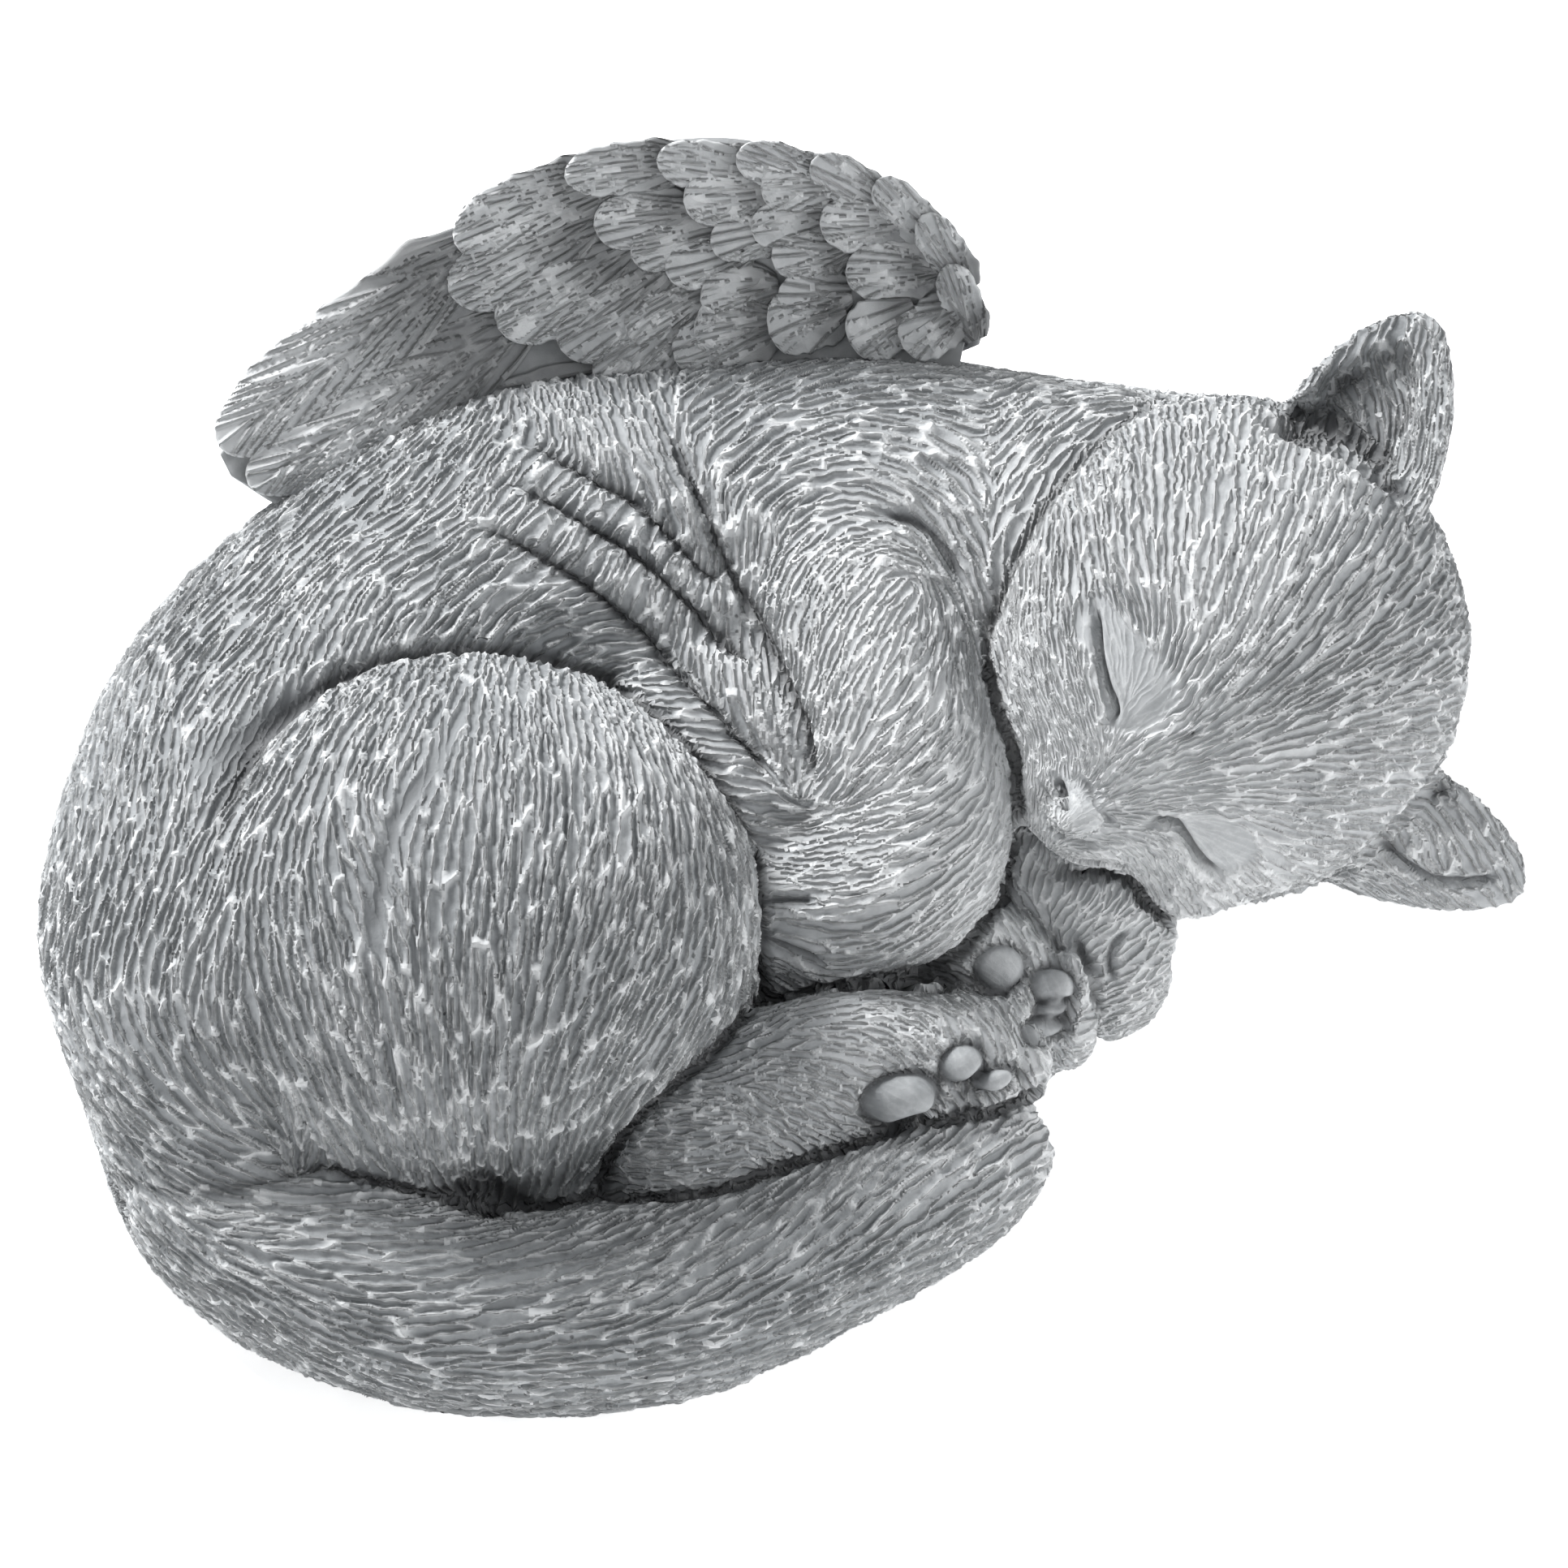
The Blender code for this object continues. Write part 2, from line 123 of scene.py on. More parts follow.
# Pits: x and w of the middle, half sizes, lean in degrees, and depth.
PITS = [
    (89.0, 85.0, 6.0, 2.8, -25, 3.0), (96.5, 92.3, 3.2, 2.2, 20, 1.2), (114.4, 21.8, 2.6, 2.0, 30, 1.5),
    (105.5, 11.9, 2.4, 1.8, -40, 1.5), (-50.8, -47.5, 6.6, 3.2, -10, 3.0), (31.5, -31.2, 2.8, 1.9, 0, 1.8),
    (44.6, 20.8, 2.8, 2.2, 60, 1.2), (50.1, 7.6, 8.0, 2.2, 0, 2.0), (26.1, -10.7, 9.0, 2.0, 0, 2.0),
]
# Hollow of the upper ear, seen in the measured view.
EAR_HOLLOW = [
    (83.3, 85.3), (89.7, 88.8), (95.3, 93.1), (101, 97.3), (105.9, 99.4), (109.5, 97.3), (110.2, 91.7), (109.2, 86),
    (106.6, 80.4), (103.8, 74.7), (96.8, 79), (89.7, 82.5),
]
# Cut lines of the face: depth, half width, and the points.
FACE_LINES = [
    (1.9, 0.65, [(52.7, 54.9), (53.5, 51.8), (53.8, 48.6), (54.1, 45.1), (54.7, 42.2), (55.5, 39.4), (56.6, 36.9),
                 (56.8, 34.9), (55.8, 33.2)]),
    (1.8, 0.75, [(62.6, 15.7), (64.8, 16.7), (67.1, 16.2), (68.9, 14.0), (70.6, 11.4), (72.7, 9.0), (75.6, 7.2)]),
    (2.2, 0.8, [(46.6, 24.2), (47.5, 22.2), (47.9, 20.5), (48.7, 18.6)]),
    (0.8, 0.6, [(51.0, 24.4), (53.2, 21.3), (55.2, 18.2), (56.9, 15.7)]),
    (1.1, 0.6, [(44.6, 17.5), (46.3, 15.6), (48.5, 14.0), (51.5, 12.6), (54.7, 12.3)]),
    (0.6, 0.5, [(43.5, 23.5), (44.5, 21.2), (46.2, 19.6)]),
]
# Bare patches: outline, and how far they stand out or in.
BARE_PATCHES = [
    (0.5, [(53.4, 55.5), (55.5, 54.5), (59, 50.5), (63, 46), (66.5, 41), (67, 37), (62.1, 32.4), (56.9, 32.3),
           (56.4, 33.8), (55.2, 39.4), (53.8, 46.5)]),
    (0.2, [(52.7, 54.7), (53.6, 50.5), (53.7, 46.5), (51.6, 46.5), (49.9, 48.6), (50.4, 51.8)]),
    (0.4, [(66.5, 17.1), (72.7, 17.8), (79.1, 15.1), (81.9, 11.4), (78.4, 8.1), (74.4, 7.5), (71.3, 10.9),
           (68.8, 14.5)]),
    (1.1, [(47.9, 24), (50.8, 23.8), (53, 20.5), (54.6, 16.8), (55.3, 14), (52.3, 13.8), (49.9, 16.2), (48.6, 19.6)]),
]

# The wings, as in the solid: edges by x and w from the shoulder round to the tip, cup, and layers in depth.
LEADING_EDGE = [
    (31, 97), (32.5, 106), (30, 117), (23, 125), (12, 130.5), (-2, 134), (-15, 135), (-32, 132), (-52, 121.5),
    (-69, 109.5), (-83, 97.5), (-94, 86.5), (-98, 80.5),
]
TRAILING_EDGE = [
    (28, 84), (24, 82), (18, 80), (10, 78), (0, 77), (-10, 76), (-20, 75), (-32, 73), (-47, 70), (-62, 67),
    (-75, 67), (-87, 71), (-96, 76.5),
]
WING_DEPTH = 8.0
WING_CURL_X, WING_CURL_W, WING_FOOT_W = 0.0015, 0.010, 86.0
WING_WALL = 6.0
FAR_WING_DEPTH = 8.5
FAR_WING_SCALE, CORE_SCALE = 0.96, 0.9
WING_HUB = np.array([0.0, 88.0])
# Rows of feathers: how many, the line of their tips in x and w, and from the first one to the last their heading in
# degrees, length and width.
FEATHER_ROWS = [
    (3, [(-78, 71.5), (-93, 75), (-98, 81.5)], (205, 217), (52, 59), (13.5, 15.5)),
    (5, [(-32, 91.7), (-38.8, 98.7), (-49.7, 102.3), (-58.2, 108.3), (-57.2, 117)], (220, 201), (23, 31), (12, 11.5)),
    (5, [(-1, 107.5), (-2.1, 114.6), (-5.6, 119.2), (-12.7, 116.8), (-26.6, 115)], (185, 195), (13, 16), (8, 7.5)),
    (2, [(-14.5, 107.2), (-20.5, 112.1)], (190, 197), (14, 16), (8, 8)),
    (2, [(-19, 97), (-27, 101)], (205, 210), (16, 18), (10, 10)),
    (4, [(21, 99), (11.5, 100), (-2.5, 101.5), (-15.5, 100.5)], (215, 192), (12, 15), (9, 11.5)),
    (5, [(10.8, 112), (6.3, 120.4), (-4, 126.3), (-17.4, 124.2), (-33, 120)], (182, 188), (16, 18), (9, 9)),
    (7, [(28.6, 113.5), (22.8, 123.3), (12, 129.3), (-3, 131.8), (-19, 131.6), (-38, 128.3)],
     (112, 187), (14, 22), (6.5, 8)),
]

# Depth of the crease between forms that meet.
CREASES = {
    ("haunch", "trunk"): 2.6, ("haunch", "foreleg"): 2.4, ("haunch", "tail"): 2.0, ("haunch", "feet"): 1.8,
    ("trunk", "tail"): 0.8, ("trunk", "head"): 1.4, ("trunk", "feet"): 1.5, ("foreleg", "feet"): 2.5,
    ("foreleg", "head"): 3.0, ("tail", "feet"): 2.2, ("feet", "head"): 2.5, ("head", "ears"): 0.6,
}
# Strokes of each form: length, width and depth.
STROKES = {
    "haunch": (12, 1.5, 1.3), "trunk": (10, 1.5, 1.25), "foreleg": (10, 1.3, 0.9), "tail": (12, 1.6, 1.25),
    "feet": (5.5, 1.25, 0.8), "head": (12, 1.45, 1.2), "ears": (10, 1.3, 0.65),
}
# Locks gather several strokes: how much longer, wider and shallower they are than a stroke.
LOCKS = (2.6, 3.4, 0.35)
# A difference of two strokes' distances of 1 / WALL_REACH is off the wall between them; NO_WALL is well past that.
WALL_REACH, NO_WALL = 0.58, 3.0
# Barbs of the long feathers and of the short ones: length, width, and slant from the quill or spread from the root.
QUILLED_LENGTH = 40
LONG_BARBS, SHORT_BARBS = (16.0, 1.45, 0.27), (9.0, 1.2, 0.95)
FEATHER_WIDENING, FEATHER_LIFT = 1.12, 1.8
NEAR_SPACING, FAR_SPACING = 0.42, 1.05
# Painted light: how much paler the muzzle and whole head are painted, and how far from the muzzle's middle that
# reaches.
MUZZLE_MIDDLE, NOSE_TIP = (57, 21, 50), (50, 20, 52)
MUZZLE_PAINTED_LIGHT, HEAD_PAINTED_LIGHT = (0.9, 34), (1.9, 76)

# How forms are drawn down to the ground, voxels and smoothing of the two fusings, and depths for sight and walls.
GROUND_DRAW, GROUND_MARGIN = 0.45, 4.0
BODY_VOXEL, BODY_SMOOTHING = 1.7, 16
SKIN_VOXEL, SKIN_SMOOTHING = 1.0, 3
SIGHT_DEPTH = 4
# The body's pieces, and where three of them end: the face and the rump in the measured view, the shoulders along X.
PIECES = ["kitten_face", "kitten_forehead", "kitten_tail", "kitten_haunch", "kitten_foreleg", "kitten_paws",
          "kitten_rump", "kitten_shoulders", "kitten_flank"]
FACE_EDGE, RUMP_EDGE, SHOULDERS_EDGE = 66, -72, 8
PART_WALL = 3.5

# The picture: the width it shows and the camera's distance, in metres, and the middle of it in the measured view.
PICTURE_WIDTH, CAMERA_DISTANCE = 0.2729, 2.6
PICTURE_MIDDLE = (0.14, 23.0, 20.0)
# Lights: place and size in metres, and power in watts.
LIGHTS = [
    ("key", (-0.75, 0.75, 0.85), 0.4, 23.0), ("right", (1.3, -0.2, 0.5), 0.8, 7.0),
    ("left", (-1.3, -0.2, 0.35), 0.8, 3.0), ("front", (0.3, -1.4, 0.3), 0.8, 3.0),
]


def place(rows):
    """Points of the statue for rows of (x, w, z): y is where the height w in the view is reached, z counted off."""
    x, w, z = np.atleast_2d(np.array(rows, float))[:, :3].T
    y = (w - z * math.cos(VIEW_ANGLE)) / math.sin(VIEW_ANGLE)
    return np.stack([x, y, z], axis=1) - FOOTPRINT_MIDDLE


def seen(points):
    """Where points show in the measured view: x and w."""
    placed = points + FOOTPRINT_MIDDLE
    return np.stack([placed @ RIGHT, placed @ UP], axis=-1)


def unit(vectors):
    """The vectors at length one."""
    return vectors / np.maximum(np.linalg.norm(vectors, axis=-1, keepdims=True), 1e-9)


def ease(low, high, value):
    """0 below low, 1 above high, and a smooth S between."""
    t = np.clip((value - low) / (high - low), 0, 1)
    return t * t * (3 - 2 * t)


def smooth_path(rows, steps):
    """Rows of numbers read off a smooth curve through the given ones (Catmull-Rom), steps to each gap."""
    rows = np.array(rows, float)
    padded = np.vstack([2 * rows[0] - rows[1], rows, 2 * rows[-1] - rows[-2]])
    before, here, there, after = (padded[i : len(padded) - 3 + i, None] for i in range(4))
    t = (np.arange(steps) / steps)[None, :, None]
    along, bend = there - before, 2 * before - 5 * here + 4 * there - after
    curve = here + 0.5 * t * (along + t * (bend + t * (3 * here - before - 3 * there + after)))
    return np.vstack([curve.reshape(-1, rows.shape[1]), rows[-1]])


def ring_quads(rings, around):
    """Faces of a grid of rings that each close on themselves."""
    i, j = np.meshgrid(np.arange(rings - 1), np.arange(around), indexing="ij")
    k = (j + 1) % around
    here, ahead = i * around, (i + 1) * around
    return np.stack([here + j, here + k, ahead + k, ahead + j], axis=-1).reshape(-1, 4)


def drawn_down(points, middle_heights):
    """Points below a form's middle are moved down in proportion, so that its sides fall steeply to the ground."""
    below = middle_heights - points[..., 2]
    low = np.maximum(middle_heights - below / GROUND_DRAW, -GROUND_MARGIN)
    points[..., 2] = np.where(below > 0, low, points[..., 2])
    return points


def tube(stations, around=32):
    """Circle of changing radius carried along a smooth path, with ball ends: middle + r (ahead sin a + out cos a)."""
    path = smooth_path(stations, 4)
    middles, radii = place(path), path[:, 3]
    ahead = unit(np.gradient(middles, axis=0))
    last = len(path) - 1
    at = np.r_[[0] * 4, np.arange(len(path)), [last] * 4]
    tilt = np.radians(np.r_[-90, -68, -45, -22, np.zeros(len(path)), 22, 45, 68, 90])[:, None, None]
    across = unit(np.cross(ahead, (0, 0, 1)))
    over = np.cross(across, ahead)
    turn = np.linspace(0, 2 * np.pi, around, endpoint=False)[None, :, None]
    out = across[at, None] * np.cos(turn) + over[at, None] * np.sin(turn)
    points = middles[at, None] + radii[at, None, None] * (ahead[at, None] * np.sin(tilt) + out * np.cos(tilt))
    points = drawn_down(points, middles[at, 2][:, None])
    return points.reshape(-1, 3), ring_quads(len(at), around)


def egg(middle, half_sizes, drawn=True):
    """Ellipsoid on a grid of latitude and longitude: middle + half sizes times the point of the unit sphere."""
    up, turn = np.meshgrid(np.linspace(-np.pi / 2, np.pi / 2, 25), np.linspace(0, 2 * np.pi, 40, endpoint=False),
                           indexing="ij")
    ball = np.stack([np.cos(up) * np.cos(turn), np.cos(up) * np.sin(turn), np.sin(up)], axis=-1)
    centre = place(middle)[0]
    points = centre + ball * np.array(half_sizes, float)
    if drawn:
        points = drawn_down(points, centre[2])
    return points.reshape(-1, 3), ring_quads(25, 40)


def ear(root, tip, corner):
    """Cupped leaf: crescent rings, an arc outside and a flatter one inside, carried from the root to the tip."""
    root, tip, corner = place([root, tip, corner])
    along, side = tip - root, corner - root
    opening = unit(np.cross(side, along))
    t = np.linspace(-0.25, 0.97, 24)[:, None]
    half = (1 - np.maximum(t, 0) ** 2) ** 0.7
    a = np.r_[np.linspace(-1, 1, 17), np.linspace(1, -1, 17)][None, :]
    outside = np.r_[np.ones(17), np.zeros(17)][None, :]
    bulge = 1 - a * a
    back = EAR_CUP * bulge * half + EAR_WALL / 2 * np.where(outside == 1, 1.0, -bulge)
    points = root + along * t[..., None] + side * (a * half)[..., None] - opening * back[..., None]
    first, last = points[:1].mean(axis=1, keepdims=True), points[-1:].mean(axis=1, keepdims=True)
    points = np.concatenate([np.repeat(first, 34, axis=1), points, np.repeat(last, 34, axis=1)])
    return points.reshape(-1, 3), ring_quads(26, 34)


def joined(parts):
    """Several (points, faces) as one."""
    starts = np.cumsum([0] + [len(points) for points, _ in parts])
    return np.vstack([p for p, _ in parts]), np.vstack([f + s for (_, f), s in zip(parts, starts)])


def mesh_of(name, points, faces, attributes=None, walls=None):
    """Mesh in metres from points in mm and rows of vertex numbers; a row of three ends with -1. Attributes have one
    value for each point, and walls one for each corner of each face."""
    corners = faces.reshape(-1)
    kept = corners >= 0
    totals = (faces >= 0).sum(axis=1)
    mesh = bpy.data.meshes.new(name)
    mesh.vertices.add(len(points))
    mesh.vertices.foreach_set("co", (points * MM).astype(np.float32).ravel())
    mesh.loops.add(int(totals.sum()))
    mesh.loops.foreach_set("vertex_index", corners[kept].astype(np.int32))
    mesh.polygons.add(len(faces))
    mesh.polygons.foreach_set("loop_start", np.r_[0, np.cumsum(totals)[:-1]].astype(np.int32))
    mesh.polygons.foreach_set("loop_total", totals.astype(np.int32))
    mesh.polygons.foreach_set("use_smooth", np.ones(len(faces), bool))
    for title, values in (attributes or {}).items():
        layer = mesh.attributes.new(title, "FLOAT", "POINT")
        layer.data.foreach_set("value", values.astype(np.float32))
    if walls is not None:
        layer = mesh.attributes.new("wall", "FLOAT", "CORNER")
        layer.data.foreach_set("value", walls.reshape(-1)[kept].astype(np.float32))
    mesh.update(calc_edges=True)
    mesh.validate()
    return mesh


def shown(name, mesh):
    """A named object that shows the mesh."""
    made = bpy.data.objects.new(name, mesh)
    bpy.context.scene.collection.objects.link(made)
    return made


def fused(points, faces, voxel, smoothing):
    """Overlapping closed forms made one skin of even quads, with its creases softened, as points and faces."""
    made = shown("fusing", mesh_of("fusing", points, faces))
    fuse = made.modifiers.new("fuse", "REMESH")
    fuse.mode = "VOXEL"
    fuse.voxel_size = voxel * MM
    soften = made.modifiers.new("soften", "SMOOTH")
    soften.factor = 0.5
    soften.iterations = smoothing
    result = made.evaluated_get(bpy.context.evaluated_depsgraph_get()).to_mesh()
    co = np.empty(len(result.vertices) * 3, np.float32)
    result.vertices.foreach_get("co", co)
    quads = np.empty(len(result.loops), np.int32)
    result.loops.foreach_get("vertex_index", quads)
    quads = quads.reshape(-1, 4).astype(np.int64)
    bpy.data.objects.remove(made)
    return co.reshape(-1, 3).astype(float) / MM, quads


def edges_of(faces):
    """Each edge once, and for every face corner the number of the edge that leaves it."""
    pairs = np.stack([faces, np.roll(faces, -1, axis=1)], axis=-1).reshape(-1, 2)
    pairs.sort(axis=1)
    keys = pairs[:, 0] * (faces.max() + 1) + pairs[:, 1]
    _, first, where = np.unique(keys, return_index=True, return_inverse=True)
    return pairs[first], where.reshape(faces.shape)


def refined(points, faces, chosen):
    """Chosen quads in four, through the middles of their edges; a quad beside one becomes a fan round its middle.

    A triangle is kept as a quad that names its last corner twice."""
    edges, sides = edges_of(faces)
    split = np.zeros(len(edges), bool)
    split[sides[chosen]] = True
    middle_ids = np.full(len(edges), -1)
    middle_ids[split] = len(points) + np.arange(split.sum())
    fan = ~chosen & split[sides].any(axis=1)
    centred = np.flatnonzero(chosen | fan)
    centre_ids = np.full(len(faces), -1)
    centre_ids[centred] = len(points) + split.sum() + np.arange(len(centred))
    more = np.vstack([points, points[edges[split]].mean(axis=1), points[faces[centred]].mean(axis=1)])
    middles, cut = middle_ids[sides], split[sides]
    centres = np.repeat(centre_ids[:, None], 4, axis=1)
    quarters = np.stack([faces, middles, centres, np.roll(middles, 1, axis=1)], axis=-1)[chosen].reshape(-1, 4)
    after = np.roll(faces, -1, axis=1)
    first = np.stack([faces, np.where(cut, middles, after), centres, centres], axis=-1)[fan].reshape(-1, 4)
    second = np.stack([middles, after, centres, centres], axis=-1)[cut & fan[:, None]]
    return more, np.vstack([quarters, first, second, faces[~chosen & ~fan]])


def spread(values, edges, count):
    """Mean of each point's neighbours, for one or more columns of values."""
    degree = np.bincount(edges.ravel(), minlength=count)
    columns = []
    for column in values.reshape(count, -1).T:
        there, back = column[edges[:, 1]], column[edges[:, 0]]
        total = np.bincount(edges[:, 0], there, count) + np.bincount(edges[:, 1], back, count)
        columns.append(total / np.maximum(degree, 1))
    return np.stack(columns, axis=1).reshape(values.shape)


def relaxed(points, edges, steps):
    """Taubin smoothing: each point moves to and then away from its neighbours' mean, which keeps the volume."""
    grounded = points[:, 2] <= 0
    for _ in range(steps):
        for share in (0.5, -0.52):
            points = points + share * (spread(points, edges, len(points)) - points)
            points[grounded, 2] = 0
    return points


def normals_of(points, faces):
    """Normals at the points: the sum of the cross products of the diagonals of the quads around each."""
    a, b, c, d = (points[faces[:, k]] for k in range(4))
    across = np.cross(c - a, d - b)
    total = np.zeros_like(points)
    for axis in range(3):
        total[:, axis] = np.bincount(faces.ravel(), np.repeat(across[:, axis], 4), len(points))
    return unit(total)


def wavy(points, scale, seed):
    """Cheap smooth noise, about -1 to 1: a sum of sines along random directions, one wave to each scale."""
    rng = np.random.default_rng(seed)
    total = np.zeros(len(points))
    for _ in range(7):
        wave = unit(rng.normal(size=3)) * rng.uniform(0.7, 1.6) * 2 * np.pi / scale
        total += np.sin(points @ wave + rng.uniform(0, 6.3))
    return total / 2.6


def tube_reach(points, stations):
    """Distance of points to the surface of a tube, and the direction of its path beside them."""
    path = smooth_path(stations, 2)
    middles, radii = place(path), path[:, 3]
    ahead = unit(np.gradient(middles, axis=0))
    best, direction = np.full(len(points), 1e9), np.zeros_like(points)
    for i in range(len(middles) - 1):
        run = middles[i + 1] - middles[i]
        t = np.clip((points - middles[i]) @ run / (run @ run), 0, 1)
        gap = points - middles[i] - t[:, None] * run
        gap[:, 2] = np.where(gap[:, 2] < 0, gap[:, 2] * GROUND_DRAW, gap[:, 2])
        distance = np.sqrt((gap * gap).sum(axis=1)) - (radii[i] + (radii[i + 1] - radii[i]) * t)
        closer = distance < best
        best[closer] = distance[closer]
        direction[closer] = (ahead[i] * (1 - t[:, None]) + ahead[i + 1] * t[:, None])[closer]
    return best, direction


def egg_reach(points, middle, half_sizes, drawn=True):
    """Distance of points to the surface of an egg shape, near enough: how far past 1 its own scale they are."""
    gap = points - place(middle)[0]
    if drawn:
        gap[:, 2] = np.where(gap[:, 2] < 0, gap[:, 2] * GROUND_DRAW, gap[:, 2])
    scaled = np.linalg.norm(gap / np.array(half_sizes, float), axis=1)
    return (scaled - 1) * np.linalg.norm(gap, axis=1) / np.maximum(scaled, 1e-6)


def line_reach(flat, line):
    """How far points of the measured view are from a smooth line, and how far along it they are, 0 to 1."""
    path = smooth_path(line, 8)
    nearest, along = np.full(len(flat), 1e9), np.zeros(len(flat))
    for i, (a, b) in enumerate(zip(path, path[1:])):
        t = np.clip((flat - a) @ (b - a) / ((b - a) @ (b - a)), 0, 1)
        distance = np.linalg.norm(flat - a - t[:, None] * (b - a), axis=1)
        closer = distance < nearest
        nearest[closer] = distance[closer]
        along[closer] = ((i + t) / (len(path) - 1))[closer]
    return nearest, along


# Combing charts: how the fur lies in the measured view. A place is counted in chart steps from the upper left corner,
# across and down, and its third number is the direction of the strokes there in degrees.
CHART_STEP, CHART_MIDDLE = 1.4124, (96.5, 112.9)
TRUNK_COMBING = [
    (9, 95, 80), (13, 85, 75), (15, 95, 85), (17, 80, 60), (20, 85, 80), (20, 90, 85), (22, 76, 55), (25, 80, 50),
    (28, 70, 50), (30, 75, 45), (30, 82, 50), (25, 85, 60), (33, 85, 65), (38, 83, 75), (42, 78, 70), (38, 72, 55),
    (33, 65, 42), (38, 63, 45), (45, 56, 40), (50, 56, 45), (55, 54, 50), (60, 53, 55), (45, 60, 42), (50, 60, 48),
    (55, 60, 52), (60, 62, 60), (65, 57, 52), (64, 56, 45), (70, 60, 45), (74, 63, 50), (78, 64, 58), (82, 68, 65),
    (85, 71, 75), (88, 76, 85), (92, 80, 95), (65, 64, 48), (70, 66, 55), (74, 69, 60), (78, 72, 68), (80, 76, 75),
    (85, 78, 78), (87, 83, 95), (90, 85, 100), (93, 90, 106), (96, 93, 112), (98, 97, 120), (65, 52, 110),
    (70, 52, 110), (74, 52, 110), (78, 54, 108), (74, 56, 112), (79, 58, 115), (82, 60, 112), (84, 64, 112),
    (86, 67, 105), (50, 65, 30), (55, 65, 32), (60, 69, 35), (55, 70, 35), (65, 72, 30), (70, 74, 15), (72, 77, 10),
    (77, 79, -5), (80, 83, 0), (85, 85, 0), (86, 90, -5), (90, 93, -5), (93, 98, -10), (96, 100, -5), (48, 77, 60),
    (43, 76, 65), (42, 72, 50), (56, 78, 45), (60, 77, 50), (70, 80, 30), (75, 83, 20), (40, 70, 42), (46, 68, 35),
    (90, 50, 35), (95, 47, 25), (100, 46, 18), (110, 46, 5), (120, 47, 0), (130, 49, -8), (126, 54, 50), (130, 52, 40),
    (125, 58, 55), (125, 63, 60), (92, 56, 42), (100, 54, 15), (110, 54, -10), (117, 55, -30), (119, 60, -55),
    (118, 64, -60), (119, 51, -15), (125, 51, 45), (115, 59, -35),
    (140, 46, -5), (150, 48, 60), (144, 47, 100),
]
FORELEG_COMBING = [
    (92, 64, 50), (100, 60, 20), (108, 60, -5), (115, 62, -15), (120, 64, -30), (93, 69, 60), (100, 66, 40),
    (108, 66, 8), (112, 68, -22), (116, 72, -58), (95, 75, 75), (100, 75, 70), (106, 72, 50), (110, 75, 50),
    (115, 76, 85), (119, 80, 105), (96, 80, 95), (100, 85, 80), (105, 80, 65), (110, 80, 60), (115, 80, 70),
    (120, 86, 98), (100, 90, 80), (105, 90, 70), (110, 90, 45), (115, 90, 50), (120, 90, 75), (123, 95, 100),
    (103, 96, 55), (108, 95, 40), (115, 96, 35), (120, 98, 45), (123, 100, 80), (100, 103, 8), (105, 102, 8),
    (110, 100, 18), (115, 102, 28), (120, 105, 45), (122, 103, 58), (96, 106, -8), (96, 110, 0), (100, 110, -3),
    (105, 110, 6), (110, 110, 22), (115, 112, 40), (98, 115, -15), (105, 116, 8), (110, 118, 25), (98, 119, -30),
]
HAUNCH_COMBING = [
    (7, 105, 92), (8, 115, 97), (10, 115, 115), (10, 125, 115), (12, 135, 118), (15, 140, 130), (18, 150, 128),
    (9, 95, 80), (13, 85, 75), (15, 95, 85), (15, 105, 95), (15, 115, 112), (15, 125, 120), (20, 130, 125),
    (20, 135, 132), (23, 138, 145), (25, 142, 155), (20, 143, 140), (20, 90, 85), (20, 100, 92), (20, 110, 90),
    (20, 120, 112), (25, 120, 105), (25, 130, 118), (28, 135, 130), (33, 137, 142), (32, 140, 160), (25, 95, 50),
    (28, 100, 52), (30, 95, 55), (35, 92, 55), (35, 98, 62), (32, 105, 72), (40, 90, 62), (40, 96, 68), (45, 88, 58),
    (45, 93, 70), (25, 105, 72), (23, 100, 55), (30, 110, 90), (35, 105, 80), (35, 115, 95), (30, 120, 105),
    (35, 125, 110), (30, 128, 115), (40, 105, 85), (40, 115, 100), (40, 125, 108), (40, 135, 112), (35, 133, 122),
    (43, 140, 120), (45, 115, 110), (45, 110, 108), (45, 105, 112), (45, 100, 95), (47, 102, 115), (48, 108, 118),
    (48, 95, 65), (50, 90, 70), (55, 85, 65), (52, 84, 60), (48, 83, 48), (55, 93, 80), (52, 97, 70), (53, 103, 78),
    (50, 115, 100), (50, 125, 102), (50, 135, 108), (50, 142, 115), (55, 110, 88), (55, 120, 92), (55, 130, 98),
    (55, 140, 105), (60, 87, 85), (60, 100, 86), (60, 110, 85), (60, 120, 88), (60, 130, 90), (60, 140, 95),
    (65, 85, 95), (65, 95, 90), (65, 110, 85), (65, 120, 85), (65, 130, 80), (65, 140, 80), (70, 88, 100),
    (70, 100, 88), (70, 110, 82), (70, 120, 75), (70, 130, 70), (70, 140, 70), (75, 88, 110), (75, 95, 95),
    (75, 105, 80), (75, 115, 72), (75, 125, 62), (75, 135, 60), (75, 142, 60), (80, 93, 108), (80, 100, 92),
    (80, 110, 78), (80, 120, 65), (80, 130, 55), (80, 138, 45), (82, 142, 30), (85, 96, 112), (85, 105, 95),
    (85, 115, 80), (85, 125, 62), (85, 135, 48), (90, 103, 112), (90, 110, 95), (90, 120, 85), (90, 130, 62),
    (88, 140, 35),
]
